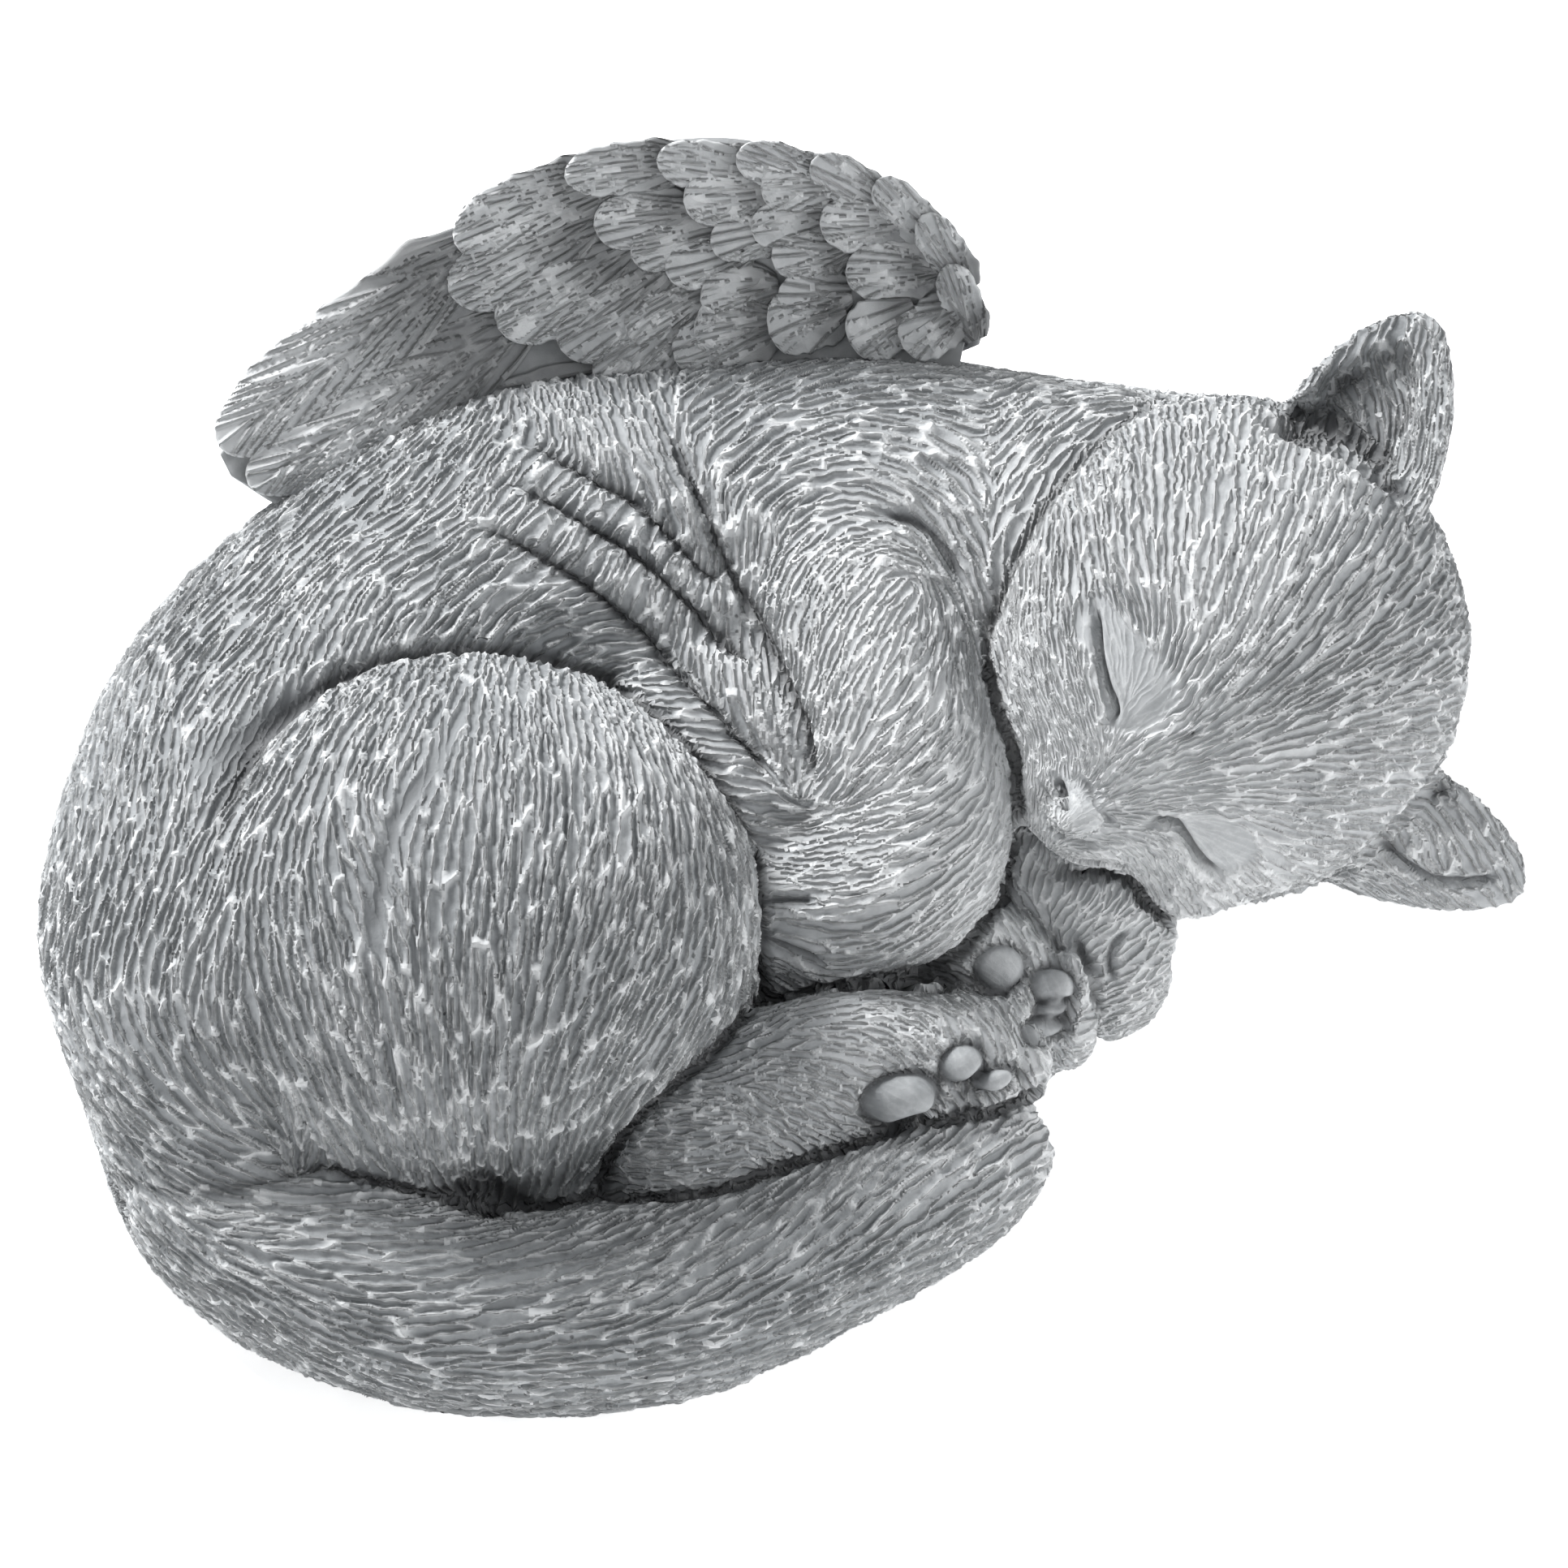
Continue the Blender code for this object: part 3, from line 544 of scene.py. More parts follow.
TAIL_COMBING = [
    (25, 145, 160), (30, 150, 178), (35, 145, 175), (40, 150, 2), (45, 155, 175), (30, 156, 155), (25, 153, 140),
    (20, 150, 130), (15, 142, 128), (30, 162, 145), (35, 165, 148), (40, 162, 155), (45, 168, 158), (45, 162, 165),
    (50, 158, 180), (50, 170, 165), (55, 164, 5), (55, 153, 5), (60, 157, 12), (60, 170, 175), (65, 152, 12),
    (65, 162, 8), (70, 158, 15), (70, 170, 0), (75, 164, 8), (75, 154, 22), (75, 150, 28), (80, 159, 22),
    (85, 154, 30), (85, 165, 8), (90, 150, 35), (90, 159, 28), (95, 155, 32), (95, 162, 15), (100, 150, 42),
    (100, 158, 28), (105, 145, 45), (105, 154, 32), (110, 150, 35), (110, 142, 42), (115, 145, 36), (120, 140, 40),
    (120, 145, 30), (115, 155, 22), (125, 138, 30), (123, 148, 35), (110, 158, 20),
]
FEET_COMBING = [
    (96, 126, 30), (100, 124, 15), (105, 124, 8), (110, 123, -5), (115, 122, -12), (119, 124, -45), (121, 128, -75),
    (100, 128, 8), (105, 128, -8), (110, 127, -25), (113, 129, -45), (116, 128, -60), (92, 131, 20), (97, 131, -12),
    (102, 132, -22), (104, 136, -25), (98, 136, -25), (93, 136, -38), (98, 140, -30), (104, 139, -20), (90, 140, 10),
    (112, 115, -20), (117, 114, -35), (121, 112, -40), (124, 113, -50), (127, 117, -60), (129, 121, -70),
    (119, 120, -30), (125, 105, 75), (129, 106, 80), (133, 107, 85), (137, 109, 80), (133, 112, 50), (137, 114, 35),
    (140, 118, 40), (137, 121, 20), (139, 124, 20),
]
EAR_COMBING = [
    (157, 49, 60), (162, 47, 62), (165, 44, 60), (170, 41, 60), (174, 42, 80), (175, 50, 88), (174, 56, 84),
    (173, 60, 60), (169, 47, 116), (171, 48, 110), (168, 52, 102), (167, 54, 110), (165, 51, 135), (164, 53, 140),
    (162, 54, 45), (169, 57, 85), (172, 54, 80), (160, 51, 30), (158, 53, 0), (168, 107, -32), (174, 110, -32),
    (176, 109, -40), (180, 110, -35), (172, 103, 110), (175, 105, 100), (178, 105, 97), (180, 106, 120),
    (175, 101, -35), (178, 99, -50), (180, 96, -62), (182, 100, -58), (185, 105, -55), (187, 108, -70),
    (179, 103, -50), (170, 101, 0),
]
HEAD_COMBING = [
    (130, 55, 58), (135, 55, 108), (140, 55, 95), (145, 55, 88), (150, 55, 82), (155, 55, 72), (160, 58, 76),
    (127, 60, 95), (133, 60, 100), (140, 60, 94), (145, 60, 88), (150, 60, 80), (155, 60, 74), (160, 61, 75),
    (165, 61, 70), (170, 62, 60), (175, 62, 55), (127, 65, 85), (135, 65, 95), (140, 65, 90), (145, 65, 85),
    (150, 65, 78), (155, 65, 72), (160, 65, 70), (165, 66, 63), (170, 67, 58), (175, 68, 57), (179, 69, 68),
    (122, 70, 85), (130, 70, 88), (135, 70, 98), (139, 72, 105), (144, 71, 90), (150, 70, 76), (155, 70, 68),
    (160, 70, 60), (165, 70, 52), (170, 70, 48), (175, 71, 45), (179, 72, 60), (125, 75, 85), (130, 75, 92),
    (139, 75, 108), (144, 75, 92), (150, 75, 72), (155, 75, 64), (160, 75, 55), (165, 75, 46), (170, 75, 42),
    (175, 75, 40), (179, 76, 50), (123, 80, 100), (127, 80, 104), (131, 81, 100), (144, 79, 75), (148, 80, 62),
    (152, 80, 57), (156, 80, 50), (160, 80, 42), (165, 80, 35), (170, 80, 30), (175, 80, 28), (179, 81, 36),
    (125, 85, 108), (129, 85, 111), (133, 86, 107), (147, 85, 58), (152, 85, 42), (156, 85, 36), (160, 85, 31),
    (165, 85, 25), (170, 86, 21), (175, 86, 18), (179, 87, 20), (126, 90, 112), (131, 90, 117), (134, 91, 115),
    (142, 90, 28), (145, 89, 43), (150, 90, 32), (155, 90, 25), (160, 90, 17), (165, 90, 12), (170, 90, 8),
    (175, 91, 10), (127, 94, 88), (131, 94, 95), (135, 93, 76), (138, 93, 46), (142, 94, 30), (146, 94, 19),
    (150, 94, 14), (155, 94, 9), (160, 94, 3), (165, 95, 0), (170, 95, 0), (175, 95, 12), (135, 96, 50),
    (137, 98, 25), (140, 98, 10), (145, 98, 4), (150, 98, 0), (155, 98, -3), (160, 98, -2), (165, 98, 0),
    (170, 98, 4), (174, 98, 6), (138, 101, -6), (141, 102, -12), (152, 101, -20), (156, 102, -18), (160, 103, -13),
    (165, 102, -7), (170, 101, 6), (140, 106, -50), (144, 106, -62), (148, 108, -60), (150, 110, -42),
    (155, 109, -35), (156, 106, -30), (160, 106, -21), (164, 106, 15), (143, 110, -62), (146, 113, -50),
]


def lifted(flat, normals):
    """Directions on the surface that show in the measured view as the given (x, w) directions."""
    ways = flat[:, :1] * RIGHT + flat[:, 1:] * UP
    facing = np.maximum(normals @ TOWARDS, 0.3)
    ways = ways - ((ways * normals).sum(axis=1) / facing)[:, None] * TOWARDS
    return unit(ways - (ways * normals).sum(axis=1, keepdims=True) * normals)


def combed(points, normals, combing):
    """Fur direction from a combing chart: the mean of the charted doubled angles, each weighed by 1 / (d2 + 4)2."""
    flat = seen(points)
    chart = np.array(combing, float)
    x, w = (chart[:, 0] - CHART_MIDDLE[0]) * CHART_STEP, (CHART_MIDDLE[1] - chart[:, 1]) * CHART_STEP
    doubled = np.radians(2 * chart[:, 2])
    cosine, sine = np.zeros(len(flat)), np.zeros(len(flat))
    for px, pw, c, s in zip(x, w, np.cos(doubled), np.sin(doubled)):
        weight = 1 / ((flat[:, 0] - px) ** 2 + (flat[:, 1] - pw) ** 2 + 4) ** 2
        cosine += weight * c
        sine += weight * s
    angle = np.arctan2(sine, cosine) / 2
    return lifted(np.stack([np.cos(angle), np.sin(angle)], axis=1), normals)


def body_skin():
    """The fused skin of the kitten, above the ground, as points and quads."""
    large = [tube(SPINE), tube(TAIL), tube(FORELEG)]
    large += [egg(*m) for m in (HAUNCH, BELLY, CHEST, BED, JAW_SUPPORT)]
    large += [egg(*m, drawn=False) for m in (SKULL, CHEEK, MUZZLE)]
    small = [tube(HIND_FOOT), tube(FAR_HIND_FOOT), tube(FAR_FOREPAW)]
    small += [egg((x, w, z), (r, r, r)) for x, w, z, r in TOES]
    small += [egg(*m, drawn=False) for m in PADS]
    small += [egg(*NOSE, drawn=False), ear(*UPPER_EAR), ear(*LOWER_EAR)]
    body = fused(*joined(large), BODY_VOXEL, BODY_SMOOTHING)
    points, faces = fused(*joined([body] + small), SKIN_VOXEL, SKIN_SMOOTHING)
    above = (points[faces][:, :, 2] > 0).any(axis=1)
    faces = faces[above]
    points[:, 2] = np.maximum(points[:, 2], 0)
    used, numbers = np.unique(faces, return_inverse=True)
    points, faces = points[used], numbers.reshape(faces.shape)
    points, faces = refined(points, faces, (normals_of(points, faces) @ TOWARDS)[faces].mean(axis=1) > 0.04)
    centre = points[faces].mean(axis=1)
    flat = seen(centre)
    fine = np.hypot((flat[:, 0] - 58) / 18, (flat[:, 1] - 29) / 28) < 1
    facing = (normals_of(points, faces) @ TOWARDS)[faces].mean(axis=1) > 0.1
    points, faces = refined(points, faces, fine & facing & (faces[:, 2] != faces[:, 3]))
    faces = faces[(faces[:, 0] != faces[:, 1])]
    edges, _ = edges_of(faces)
    edges = edges[edges[:, 0] != edges[:, 1]]
    return relaxed(points, edges, 3), faces, edges


def in_sight(points, normals):
    """Which points the measured view sees: facing it, and at most SIGHT_DEPTH behind the nearest one of their square
    millimetre."""
    flat = seen(points)
    cells = np.round(flat).astype(int)
    cells -= cells.min(axis=0)
    keys = cells[:, 0] * (cells[:, 1].max() + 1) + cells[:, 1]
    depth = points @ TOWARDS
    front = np.full(keys.max() + 1, -1e9)
    np.maximum.at(front, keys, depth)
    return (normals @ TOWARDS > 0.1) & (depth > front[keys] - SIGHT_DEPTH)


def inside_reach(flat, outline):
    """How far points of the measured view lie within a closed outline; outside the distance is below zero."""
    outline = np.array(outline, float)
    loop = smooth_path(np.vstack([outline, outline[:1]]), 5)
    inside, nearest = np.zeros(len(flat), bool), np.full(len(flat), 1e9)
    for a, b in zip(loop, loop[1:]):
        run = b - a
        t = np.clip((flat - a) @ run / (run @ run + 1e-9), 0, 1)
        nearest = np.minimum(nearest, np.linalg.norm(flat - a - t[:, None] * run, axis=1))
        crosses = (a[1] > flat[:, 1]) != (b[1] > flat[:, 1])
        reach = a[0] + (flat[:, 1] - a[1]) * run[0] / (run[1] if run[1] else 1e-9)
        inside ^= crosses & (flat[:, 0] < reach)
    return np.where(inside, nearest, -nearest)


def around(flat, line, margin):
    """Numbers of the points of the measured view that lie in the box round a line, widened by a margin."""
    line = np.array(line)
    return np.flatnonzero(((flat > line.min(axis=0) - margin) & (flat < line.max(axis=0) + margin)).all(axis=1))


def in_ellipse(flat, x, w, long, wide, degrees):
    """Distance from an ellipse's middle as a share of its size: 1 on its outline."""
    turn = math.radians(degrees)
    a = (flat[:, 0] - x) * math.cos(turn) + (flat[:, 1] - w) * math.sin(turn)
    b = (flat[:, 1] - w) * math.cos(turn) - (flat[:, 0] - x) * math.sin(turn)
    return np.sqrt((a / long) ** 2 + (b / wide) ** 2)


def carved(points, normals, reaches):
    """Creases, pits, closed eyes, nose and pads, sunk or raised along the normals; where it stays bare, and the painted
    shade, with a wash of stain, put into the hollows. A crease between two forms is deepest where a point is as near
    to one as to the other."""
    flat, sight = seen(points), in_sight(points, normals)
    # The third array is painted shade, with a wash of stain, for the folds, lines, pits, ear hollow, pad grooves and
    # creases.
    rise, bare, shade_and_wash = (np.zeros(len(points)) for _ in range(3))
    for line in FLANK_FOLDS:
        near = around(flat, line, 8)
        distance, along = line_reach(flat[near], line)
        ends = ease(0, 0.3, along) * ease(0, 0.1, 1 - along)
        rise[near] -= 1.4 * np.exp(-((distance / 0.9) ** 2)) * ends
        rise[near] -= 2.5 * np.exp(-((distance / 3.0) ** 2)) * ease(0, 0.6, along) * ease(0, 0.1, 1 - along)
        shade_and_wash[near] += 0.5 * np.exp(-((distance / 1.4) ** 2)) * ends
    for depth, width, line in BODY_LINES + FACE_LINES:
        near = around(flat, line, 5)
        distance, along = line_reach(flat[near], line)
        ends = 0.25 + 0.75 * ease(0, 0.2, along) * ease(0, 0.15, 1 - along)
        rise[near] -= depth * np.exp(-((distance / width) ** 2)) * ends
        rise[near] += 0.25 * depth * np.exp(-(((distance - 2.2 * width) / width) ** 2)) * ends
        shade_and_wash[near] += 0.4 * depth * np.exp(-((distance / width / 1.2) ** 2)) * ends
        bare[near] = np.maximum(bare[near], 0.9 * np.exp(-((distance / width / 1.3) ** 2)))
    for x, w, long, wide, degrees, depth in PITS:
        near = around(flat, [(x, w)], 2 * long)
        inside = in_ellipse(flat[near], x, w, long, wide, degrees)
        rise[near] -= depth * np.exp(-(inside**2))
        shade_and_wash[near] += 0.7 * np.exp(-(inside**2))
    near = around(flat, EAR_HOLLOW, 4)
    reach = inside_reach(flat[near], EAR_HOLLOW)
    rise[near] += 0.5 * np.exp(-(((reach + 1.2) / 1.2) ** 2)) - 1.6 * ease(-0.5, 3.0, reach)
    shade_and_wash[near] += 0.3 * ease(0, 3, reach)
    for lift, outline in BARE_PATCHES:
        near = around(flat, outline, 4)
        reach = inside_reach(flat[near], outline)
        bare[near] = np.maximum(bare[near], 0.88 * ease(-1.0, 0.7, reach))
        rise[near] += (lift * ease(0, 4.5, reach) - 0.35) * ease(-1.0, 0.7, reach)
    for x, w, long, wide, degrees in SOLE_PADS:
        near = around(flat, [(x, w)], 2 * long)
        inside = in_ellipse(flat[near], x, w, long, wide, degrees)
        rise[near] += 0.7 * np.maximum(1 - inside**2, 0) - 1.2 * np.exp(-(((inside - 1.12) * wide / 0.75) ** 2))
        shade_and_wash[near] += 0.6 * np.exp(-(((inside - 1.1) * wide / 0.8) ** 2))
        bare[near] = np.maximum(bare[near], 1 - ease(1.05, 1.2, inside))
    order = np.argsort(reaches, axis=0)[:2]
    gap = np.diff(np.take_along_axis(reaches, order, axis=0), axis=0)[0]
    names = list(STROKES)
    for pair, depth in CREASES.items():
        one, other = names.index(pair[0]), names.index(pair[1])
        here = (order.min(axis=0) == min(one, other)) & (order.max(axis=0) == max(one, other))
        strength = here * depth * np.exp(-((gap / 1.5) ** 2))
        if "haunch" in pair:
            strength *= np.maximum(ease(8, 28, flat[:, 1]), ease(-92, -70, flat[:, 0]) * (pair[1] != "trunk"))
        rise -= strength
        shade_and_wash += 0.3 * strength
    return points + np.where(sight, rise, 0)[:, None] * normals, np.where(sight, bare, 0), np.where(sight, shade_and_wash, 0)


def form_reaches(points):
    """Distance of points to each of the forms, in the order of the strokes' list."""
    reach = {"haunch": egg_reach(points, *HAUNCH), "trunk": tube_reach(points, SPINE)[0]}
    for mass in (BELLY, CHEST):
        reach["trunk"] = np.minimum(reach["trunk"], egg_reach(points, *mass))
    reach["foreleg"], reach["tail"] = tube_reach(points, FORELEG)[0], tube_reach(points, TAIL)[0]
    reach["feet"] = tube_reach(points, HIND_FOOT)[0]
    for stations in (FAR_HIND_FOOT, FAR_FOREPAW):
        reach["feet"] = np.minimum(reach["feet"], tube_reach(points, stations)[0])
    reach["head"] = np.minimum(egg_reach(points, *SKULL, drawn=False), egg_reach(points, *JAW_SUPPORT))
    for mass in (MUZZLE, CHEEK):
        reach["head"] = np.minimum(reach["head"], egg_reach(points, *mass, drawn=False))
    reach["ears"] = np.full(len(points), 1e9)
    for root, tip, corner in (place(UPPER_EAR), place(LOWER_EAR)):
        along, side = tip - root, corner - root
        t = np.clip((points - root) @ along / (along @ along), 0, 1)
        distance = np.linalg.norm(points - root - t[:, None] * along, axis=1) - np.linalg.norm(side) * (1.15 - t)
        reach["ears"] = np.minimum(reach["ears"], np.where(reach["head"] < 2.0, 9.0, np.maximum(distance, 0)))
    return np.stack([reach[name] for name in STROKES])


def fur_field(points, normals, reaches):
    """Direction of the fur, and the length, width and depth of its strokes, mixed from the forms a point is near."""
    nose = place(NOSE_TIP)[0]
    charts = {"haunch": HAUNCH_COMBING, "trunk": TRUNK_COMBING, "foreleg": FORELEG_COMBING, "tail": TAIL_COMBING,
              "feet": FEET_COMBING, "head": HEAD_COMBING, "ears": EAR_COMBING}
    way = {name: combed(points, normals, chart) for name, chart in charts.items()}
    low = ease(0, -25, seen(points)[:, 1])[:, None]
    rump = way["haunch"] * np.sign((way["haunch"] * way["trunk"]).sum(axis=1))[:, None]
    left = ease(-78, -92, points[:, 0])[:, None]
    way["trunk"] = unit(way["trunk"] * (1 - left * low) + rump * left * low)
    hidden = ease(0.15, -0.2, normals @ TOWARDS)[:, None]
    out = points - nose
    for name, path in (("tail", tube_reach(points, TAIL)[1]), ("head", unit(out))):
        charted = way[name] * np.sign((way[name] * path).sum(axis=1))[:, None]
        way[name] = charted * (1 - hidden) + path * hidden
    names = list(STROKES)
    weights = np.exp(-np.maximum(reaches - reaches.min(axis=0), 0) / 0.8)
    weights /= weights.sum(axis=0)
    label = reaches.argmin(axis=0)
    ways = np.stack([way[n] for n in names])
    ways = unit(ways - (ways * normals).sum(axis=-1, keepdims=True) * normals)
    chief = np.take_along_axis(ways, label[None, :, None], axis=0)[0]
    signs = np.where((ways * chief).sum(axis=-1) < 0, -1.0, 1.0)
    mean = unit((ways * (signs * weights)[..., None]).sum(axis=0))
    size = np.einsum("fn,fk->nk", weights, np.array([STROKES[n] for n in names]))
    finer = 0.5 + 0.5 * ease(6, 46, np.linalg.norm(out, axis=1))
    finer *= 1 - 0.2 * ease(60, 50, seen(points)[:, 0])
    face = weights[names.index("head")]
    size *= (1 - face * (1 - finer))[:, None]
    size[:, :2] *= 1 + 0.7 * ease(-0.05, -0.3, normals @ TOWARDS)[:, None]
    return mean, size, label, names


def cell_lists(places, cell):
    """Numbers of places sorted by grid cell, with the sorted cell keys, for looking up what is near a point."""
    keys = cell_keys(np.floor(places / cell).astype(np.int64))
    order = np.argsort(keys, kind="stable")
    return order, keys[order]


def cell_keys(cells):
    """One number for each cell of the grid."""
    return (cells[:, 0] + 512) * 1048576 + (cells[:, 1] + 512) * 1024 + cells[:, 2] + 512


def stretched(gap, ways, seed_ways, long, wide):
    """Distance from a stroke: the square root of (along / half length)2 + (across / half width)2, with the way along
    taken halfway between the fur's directions at the point and at the stroke."""
    mean = ways * np.sign((ways * seed_ways).sum(axis=-1))[..., None] + seed_ways
    mean = mean / (np.linalg.norm(mean, axis=-1)[..., None] + 1e-6)
    along = (gap * mean).sum(axis=-1)
    across = np.maximum((gap * gap).sum(axis=-1) - along**2, 0)
    return np.sqrt(across / wide**2 + (along / long) ** 2)


def two_nearest(points, ways, seeds, seed_ways, long, wide, cell):
    """The two strokes nearest to each point by the stretched distance, and how far away they are."""
    first, second = np.full(len(points), 4.0, np.float32), np.full(len(points), 4.0, np.float32)
    owner, other = np.zeros(len(points), np.int64), np.zeros(len(points), np.int64)
    points, ways = points.astype(np.float32), ways.astype(np.float32)
    seeds, seed_ways = seeds.astype(np.float32), seed_ways.astype(np.float32)
    order, keys = cell_lists(seeds, cell)
    cells = np.floor(points / cell).astype(np.int64)
    for step in np.ndindex(3, 3, 3):
        wanted = cell_keys(cells + step - 1)
        start, stop = np.searchsorted(keys, wanted), np.searchsorted(keys, wanted, side="right")
        for k in range(int((stop - start).max(initial=0))):
            near = np.flatnonzero(start + k < stop)
            seed = order[start[near] + k]
            distance = stretched(points[near] - seeds[seed], ways[near], seed_ways[seed], long[seed], wide[seed])
            closer = distance < first[near]
            between = ~closer & (distance < second[near])
            second[near] = np.where(closer, first[near], np.minimum(second[near], distance))
            other[near[closer]], other[near[between]] = owner[near[closer]], seed[between]
            first[near[closer]] = distance[closer]
            owner[near[closer]] = seed[closer]
    return first, second, owner, other


def between_strokes(gap, ways, long, wide):
    """Of the gap between two strokes' middles, the share that runs end to end, and the slope of the distances there.

    share = (along / long)2 / ((along / long)2 + (across / wide)2); slope, against a wall between strokes side by
    side, = square root of (1 - share + share * (wide / long)2)."""
    along = (gap * ways).sum(axis=-1) ** 2
    across = np.maximum((gap * gap).sum(axis=-1) - along, 0)
    share = (along / long**2) / (along / long**2 + across / wide**2 + 1e-9)
    return ease(0.6, 0.9, share), np.maximum(np.sqrt(1 - share + share * (wide / long) ** 2), 0.15)


def wall_values(faces, gaps, owner, other, ends, slope, distance):
    """Signed difference of the distances to two strokes at every corner of the faces: zero right on the wall.

    A face takes both strokes from its corner nearest to a wall, so the value runs straight across the wall. Divided
    by the slope, a wall is equally thick all round, and it fades where the strokes meet end to end."""
    nearest = np.take_along_axis(faces, gaps[faces].argmin(axis=1)[:, None], axis=1)[:, 0]
    off = distance(faces, other[nearest][:, None]) - distance(faces, owner[nearest][:, None])
    off = off / slope[nearest][:, None]
    faint = 1.1 * ends[nearest][:, None]
    return np.where(faint > 0, np.abs(off) + faint, off)


def scattered(points, faces, ways, sizes, cell):
    """Places for strokes: by chance, as dense as their sizes ask, and then twice moved to the middle of their share."""
    corners = points[faces]
    areas = np.linalg.norm(np.cross(corners[:, 2] - corners[:, 0], corners[:, 3] - corners[:, 1]), axis=1) / 2
    share = np.bincount(faces.ravel(), np.repeat(areas / 4, 4), len(points))
    seeds = np.flatnonzero(RNG.random(len(points)) < share / (0.87 * sizes[:, 0] * sizes[:, 1]))
    coarse = np.arange(0, len(points), 4)
    for _ in range(2):
        long, wide = sizes[seeds, 0] / 2, sizes[seeds, 1] / 2
        _, _, owner, _ = two_nearest(points[coarse], ways[coarse], points[seeds], ways[seeds], long, wide, cell)
        counts = np.maximum(np.bincount(owner, minlength=len(seeds)), 1)
        middles = np.stack([np.bincount(owner, points[coarse, k], len(seeds)) / counts for k in range(3)], axis=1)
        gaps = np.linalg.norm(points[coarse] - middles[owner], axis=1)
        order = np.lexsort((gaps, owner))
        _, leaders = np.unique(owner[order], return_index=True)
        seeds = coarse[order[leaders]]
    return seeds


def smoothed_along(values, points, faces, edges, ways, steps):
    """Values drawn towards the mean of the neighbours, each weighed by the sixth power of the cosine between the way
    to it and the fur, so that walls lose their beads and stay thin."""
    pairs = np.vstack([edges, faces[:, [0, 2]], faces[:, [1, 3]]])
    pairs = pairs[pairs[:, 0] != pairs[:, 1]]
    i, j = pairs.T
    run = unit(points[j] - points[i])
    weight = np.abs((run * ways[i]).sum(axis=1) * (run * ways[j]).sum(axis=1)) ** 3
    count = len(points)
    whole = np.bincount(i, weight, count) + np.bincount(j, weight, count) + 1e-6
    for _ in range(steps):
        mean = (np.bincount(i, weight * values[j], count) + np.bincount(j, weight * values[i], count)) / whole
        values = 0.4 * values + 0.6 * mean
    return values


def gouged(points, normals, faces, edges, ways, sizes, bare, cell=6.5, wave=0.15):
    """Cuts a stroke at every scattered place, so that thin walls stay where the shares of two strokes meet.

    With t as the difference of the two nearest distances, made even by the slope there and times WALL_REACH, the
    floor lies at 1 - (1 - t)2.4 of the depth. Also gives how much each point is brushed, and the walls' values."""
    seeds = scattered(points, faces, ways, sizes, cell)
    turn = RNG.normal(0, 0.06, len(seeds))[:, None]
    tilted = ways[seeds] * np.cos(turn) + np.cross(normals[seeds], ways[seeds]) * np.sin(turn)
    long = sizes[seeds, 0] / 2 * RNG.uniform(0.75, 1.3, len(seeds))
    wide = sizes[seeds, 1] / 2 * RNG.uniform(0.85, 1.2, len(seeds))
    bent = points + wave * np.stack([wavy(points, 4.0, s) for s in (1, 2, 3)], axis=1)
    places = points[seeds]
    first, second, owner, other = two_nearest(bent, ways, places, tilted, long, wide, cell)
    ends, slope = between_strokes(places[other] - places[owner], tilted[owner], long[owner], wide[owner])
    gaps = (second - first) / slope
    t = np.clip(gaps * WALL_REACH + 0.4 * ends, 0, 1)
    value = (1 - (1 - t) ** 2.4) * RNG.uniform(0.6, 1.1, len(seeds))[owner]
    value = smoothed_along(value, points, faces, edges, ways, 1)

    def distance(of, to):
        return stretched(bent[of] - places[to], ways[of], tilted[to], long[to], wide[to])

    walls = wall_values(faces, gaps, owner, other, ends, slope, distance)
    near = value
    for _ in range(4):
        near = spread(near, edges, len(points))
    ridge = 0.16 * np.clip(1 - value / 0.6, 0, 1) + 0.16 * (1 - value) + np.clip(0.8 * (near - value), 0, 0.2)
    rise = sizes[:, 2] * (1 - bare) * (0.6 - value)
    return points + rise[:, None] * normals, ridge * (1 - 0.75 * bare), walls


def hollowness(points, normals, faces, edges):
    """How far each point lies below or above its neighbourhood's mean, 0 to 1, and the way that a part's wall sinks:
    along the smoothed surface's normal, PART_WALL long."""
    mean = points
    for _ in range(60):
        mean = spread(mean, edges, len(points))
    below = ((mean - points) * normals).sum(axis=1)
    return ease(0.1, 1.5, below), ease(0.1, 1.3, -below), PART_WALL * normals_of(mean, faces)


def open_edges(faces, size):
    """Edges that only one of the faces has, in the direction that face runs."""
    pairs = np.stack([faces, np.roll(faces, -1, axis=1)], axis=-1).reshape(-1, 2)
    pairs = pairs[(pairs[:, 0] != pairs[:, 1]) & (pairs.min(axis=1) >= 0)]
    return pairs[~np.isin(pairs[:, 0] * size + pairs[:, 1], pairs[:, 1] * size + pairs[:, 0])]


def closed(points, faces, inward):
    """The faces with a wall that sinks from their open edges into the body, and a fan from there to an inner point."""
    rim = open_edges(faces, len(points))
    verts, ends = np.unique(rim, return_inverse=True)
    ends = ends.reshape(-1, 2)
    sunk = points[verts] - inward[verts]
    sunk[:, 2] = np.maximum(sunk[:, 2], 0.4)
    middle = points[np.unique(faces)].mean(axis=0) * (1, 1, 0) + (0, 0, 5)
    start = len(points)
    wall = np.stack([rim[:, 1], rim[:, 0], start + ends[:, 0], start + ends[:, 1]], axis=1)
    fan = np.stack([start + ends[:, 1], start + ends[:, 0], np.full(len(rim), start + len(verts)),
                    np.full(len(rim), start + len(verts))], axis=1)
    return np.vstack([points, sunk, middle]), np.vstack([faces, wall, fan]), verts


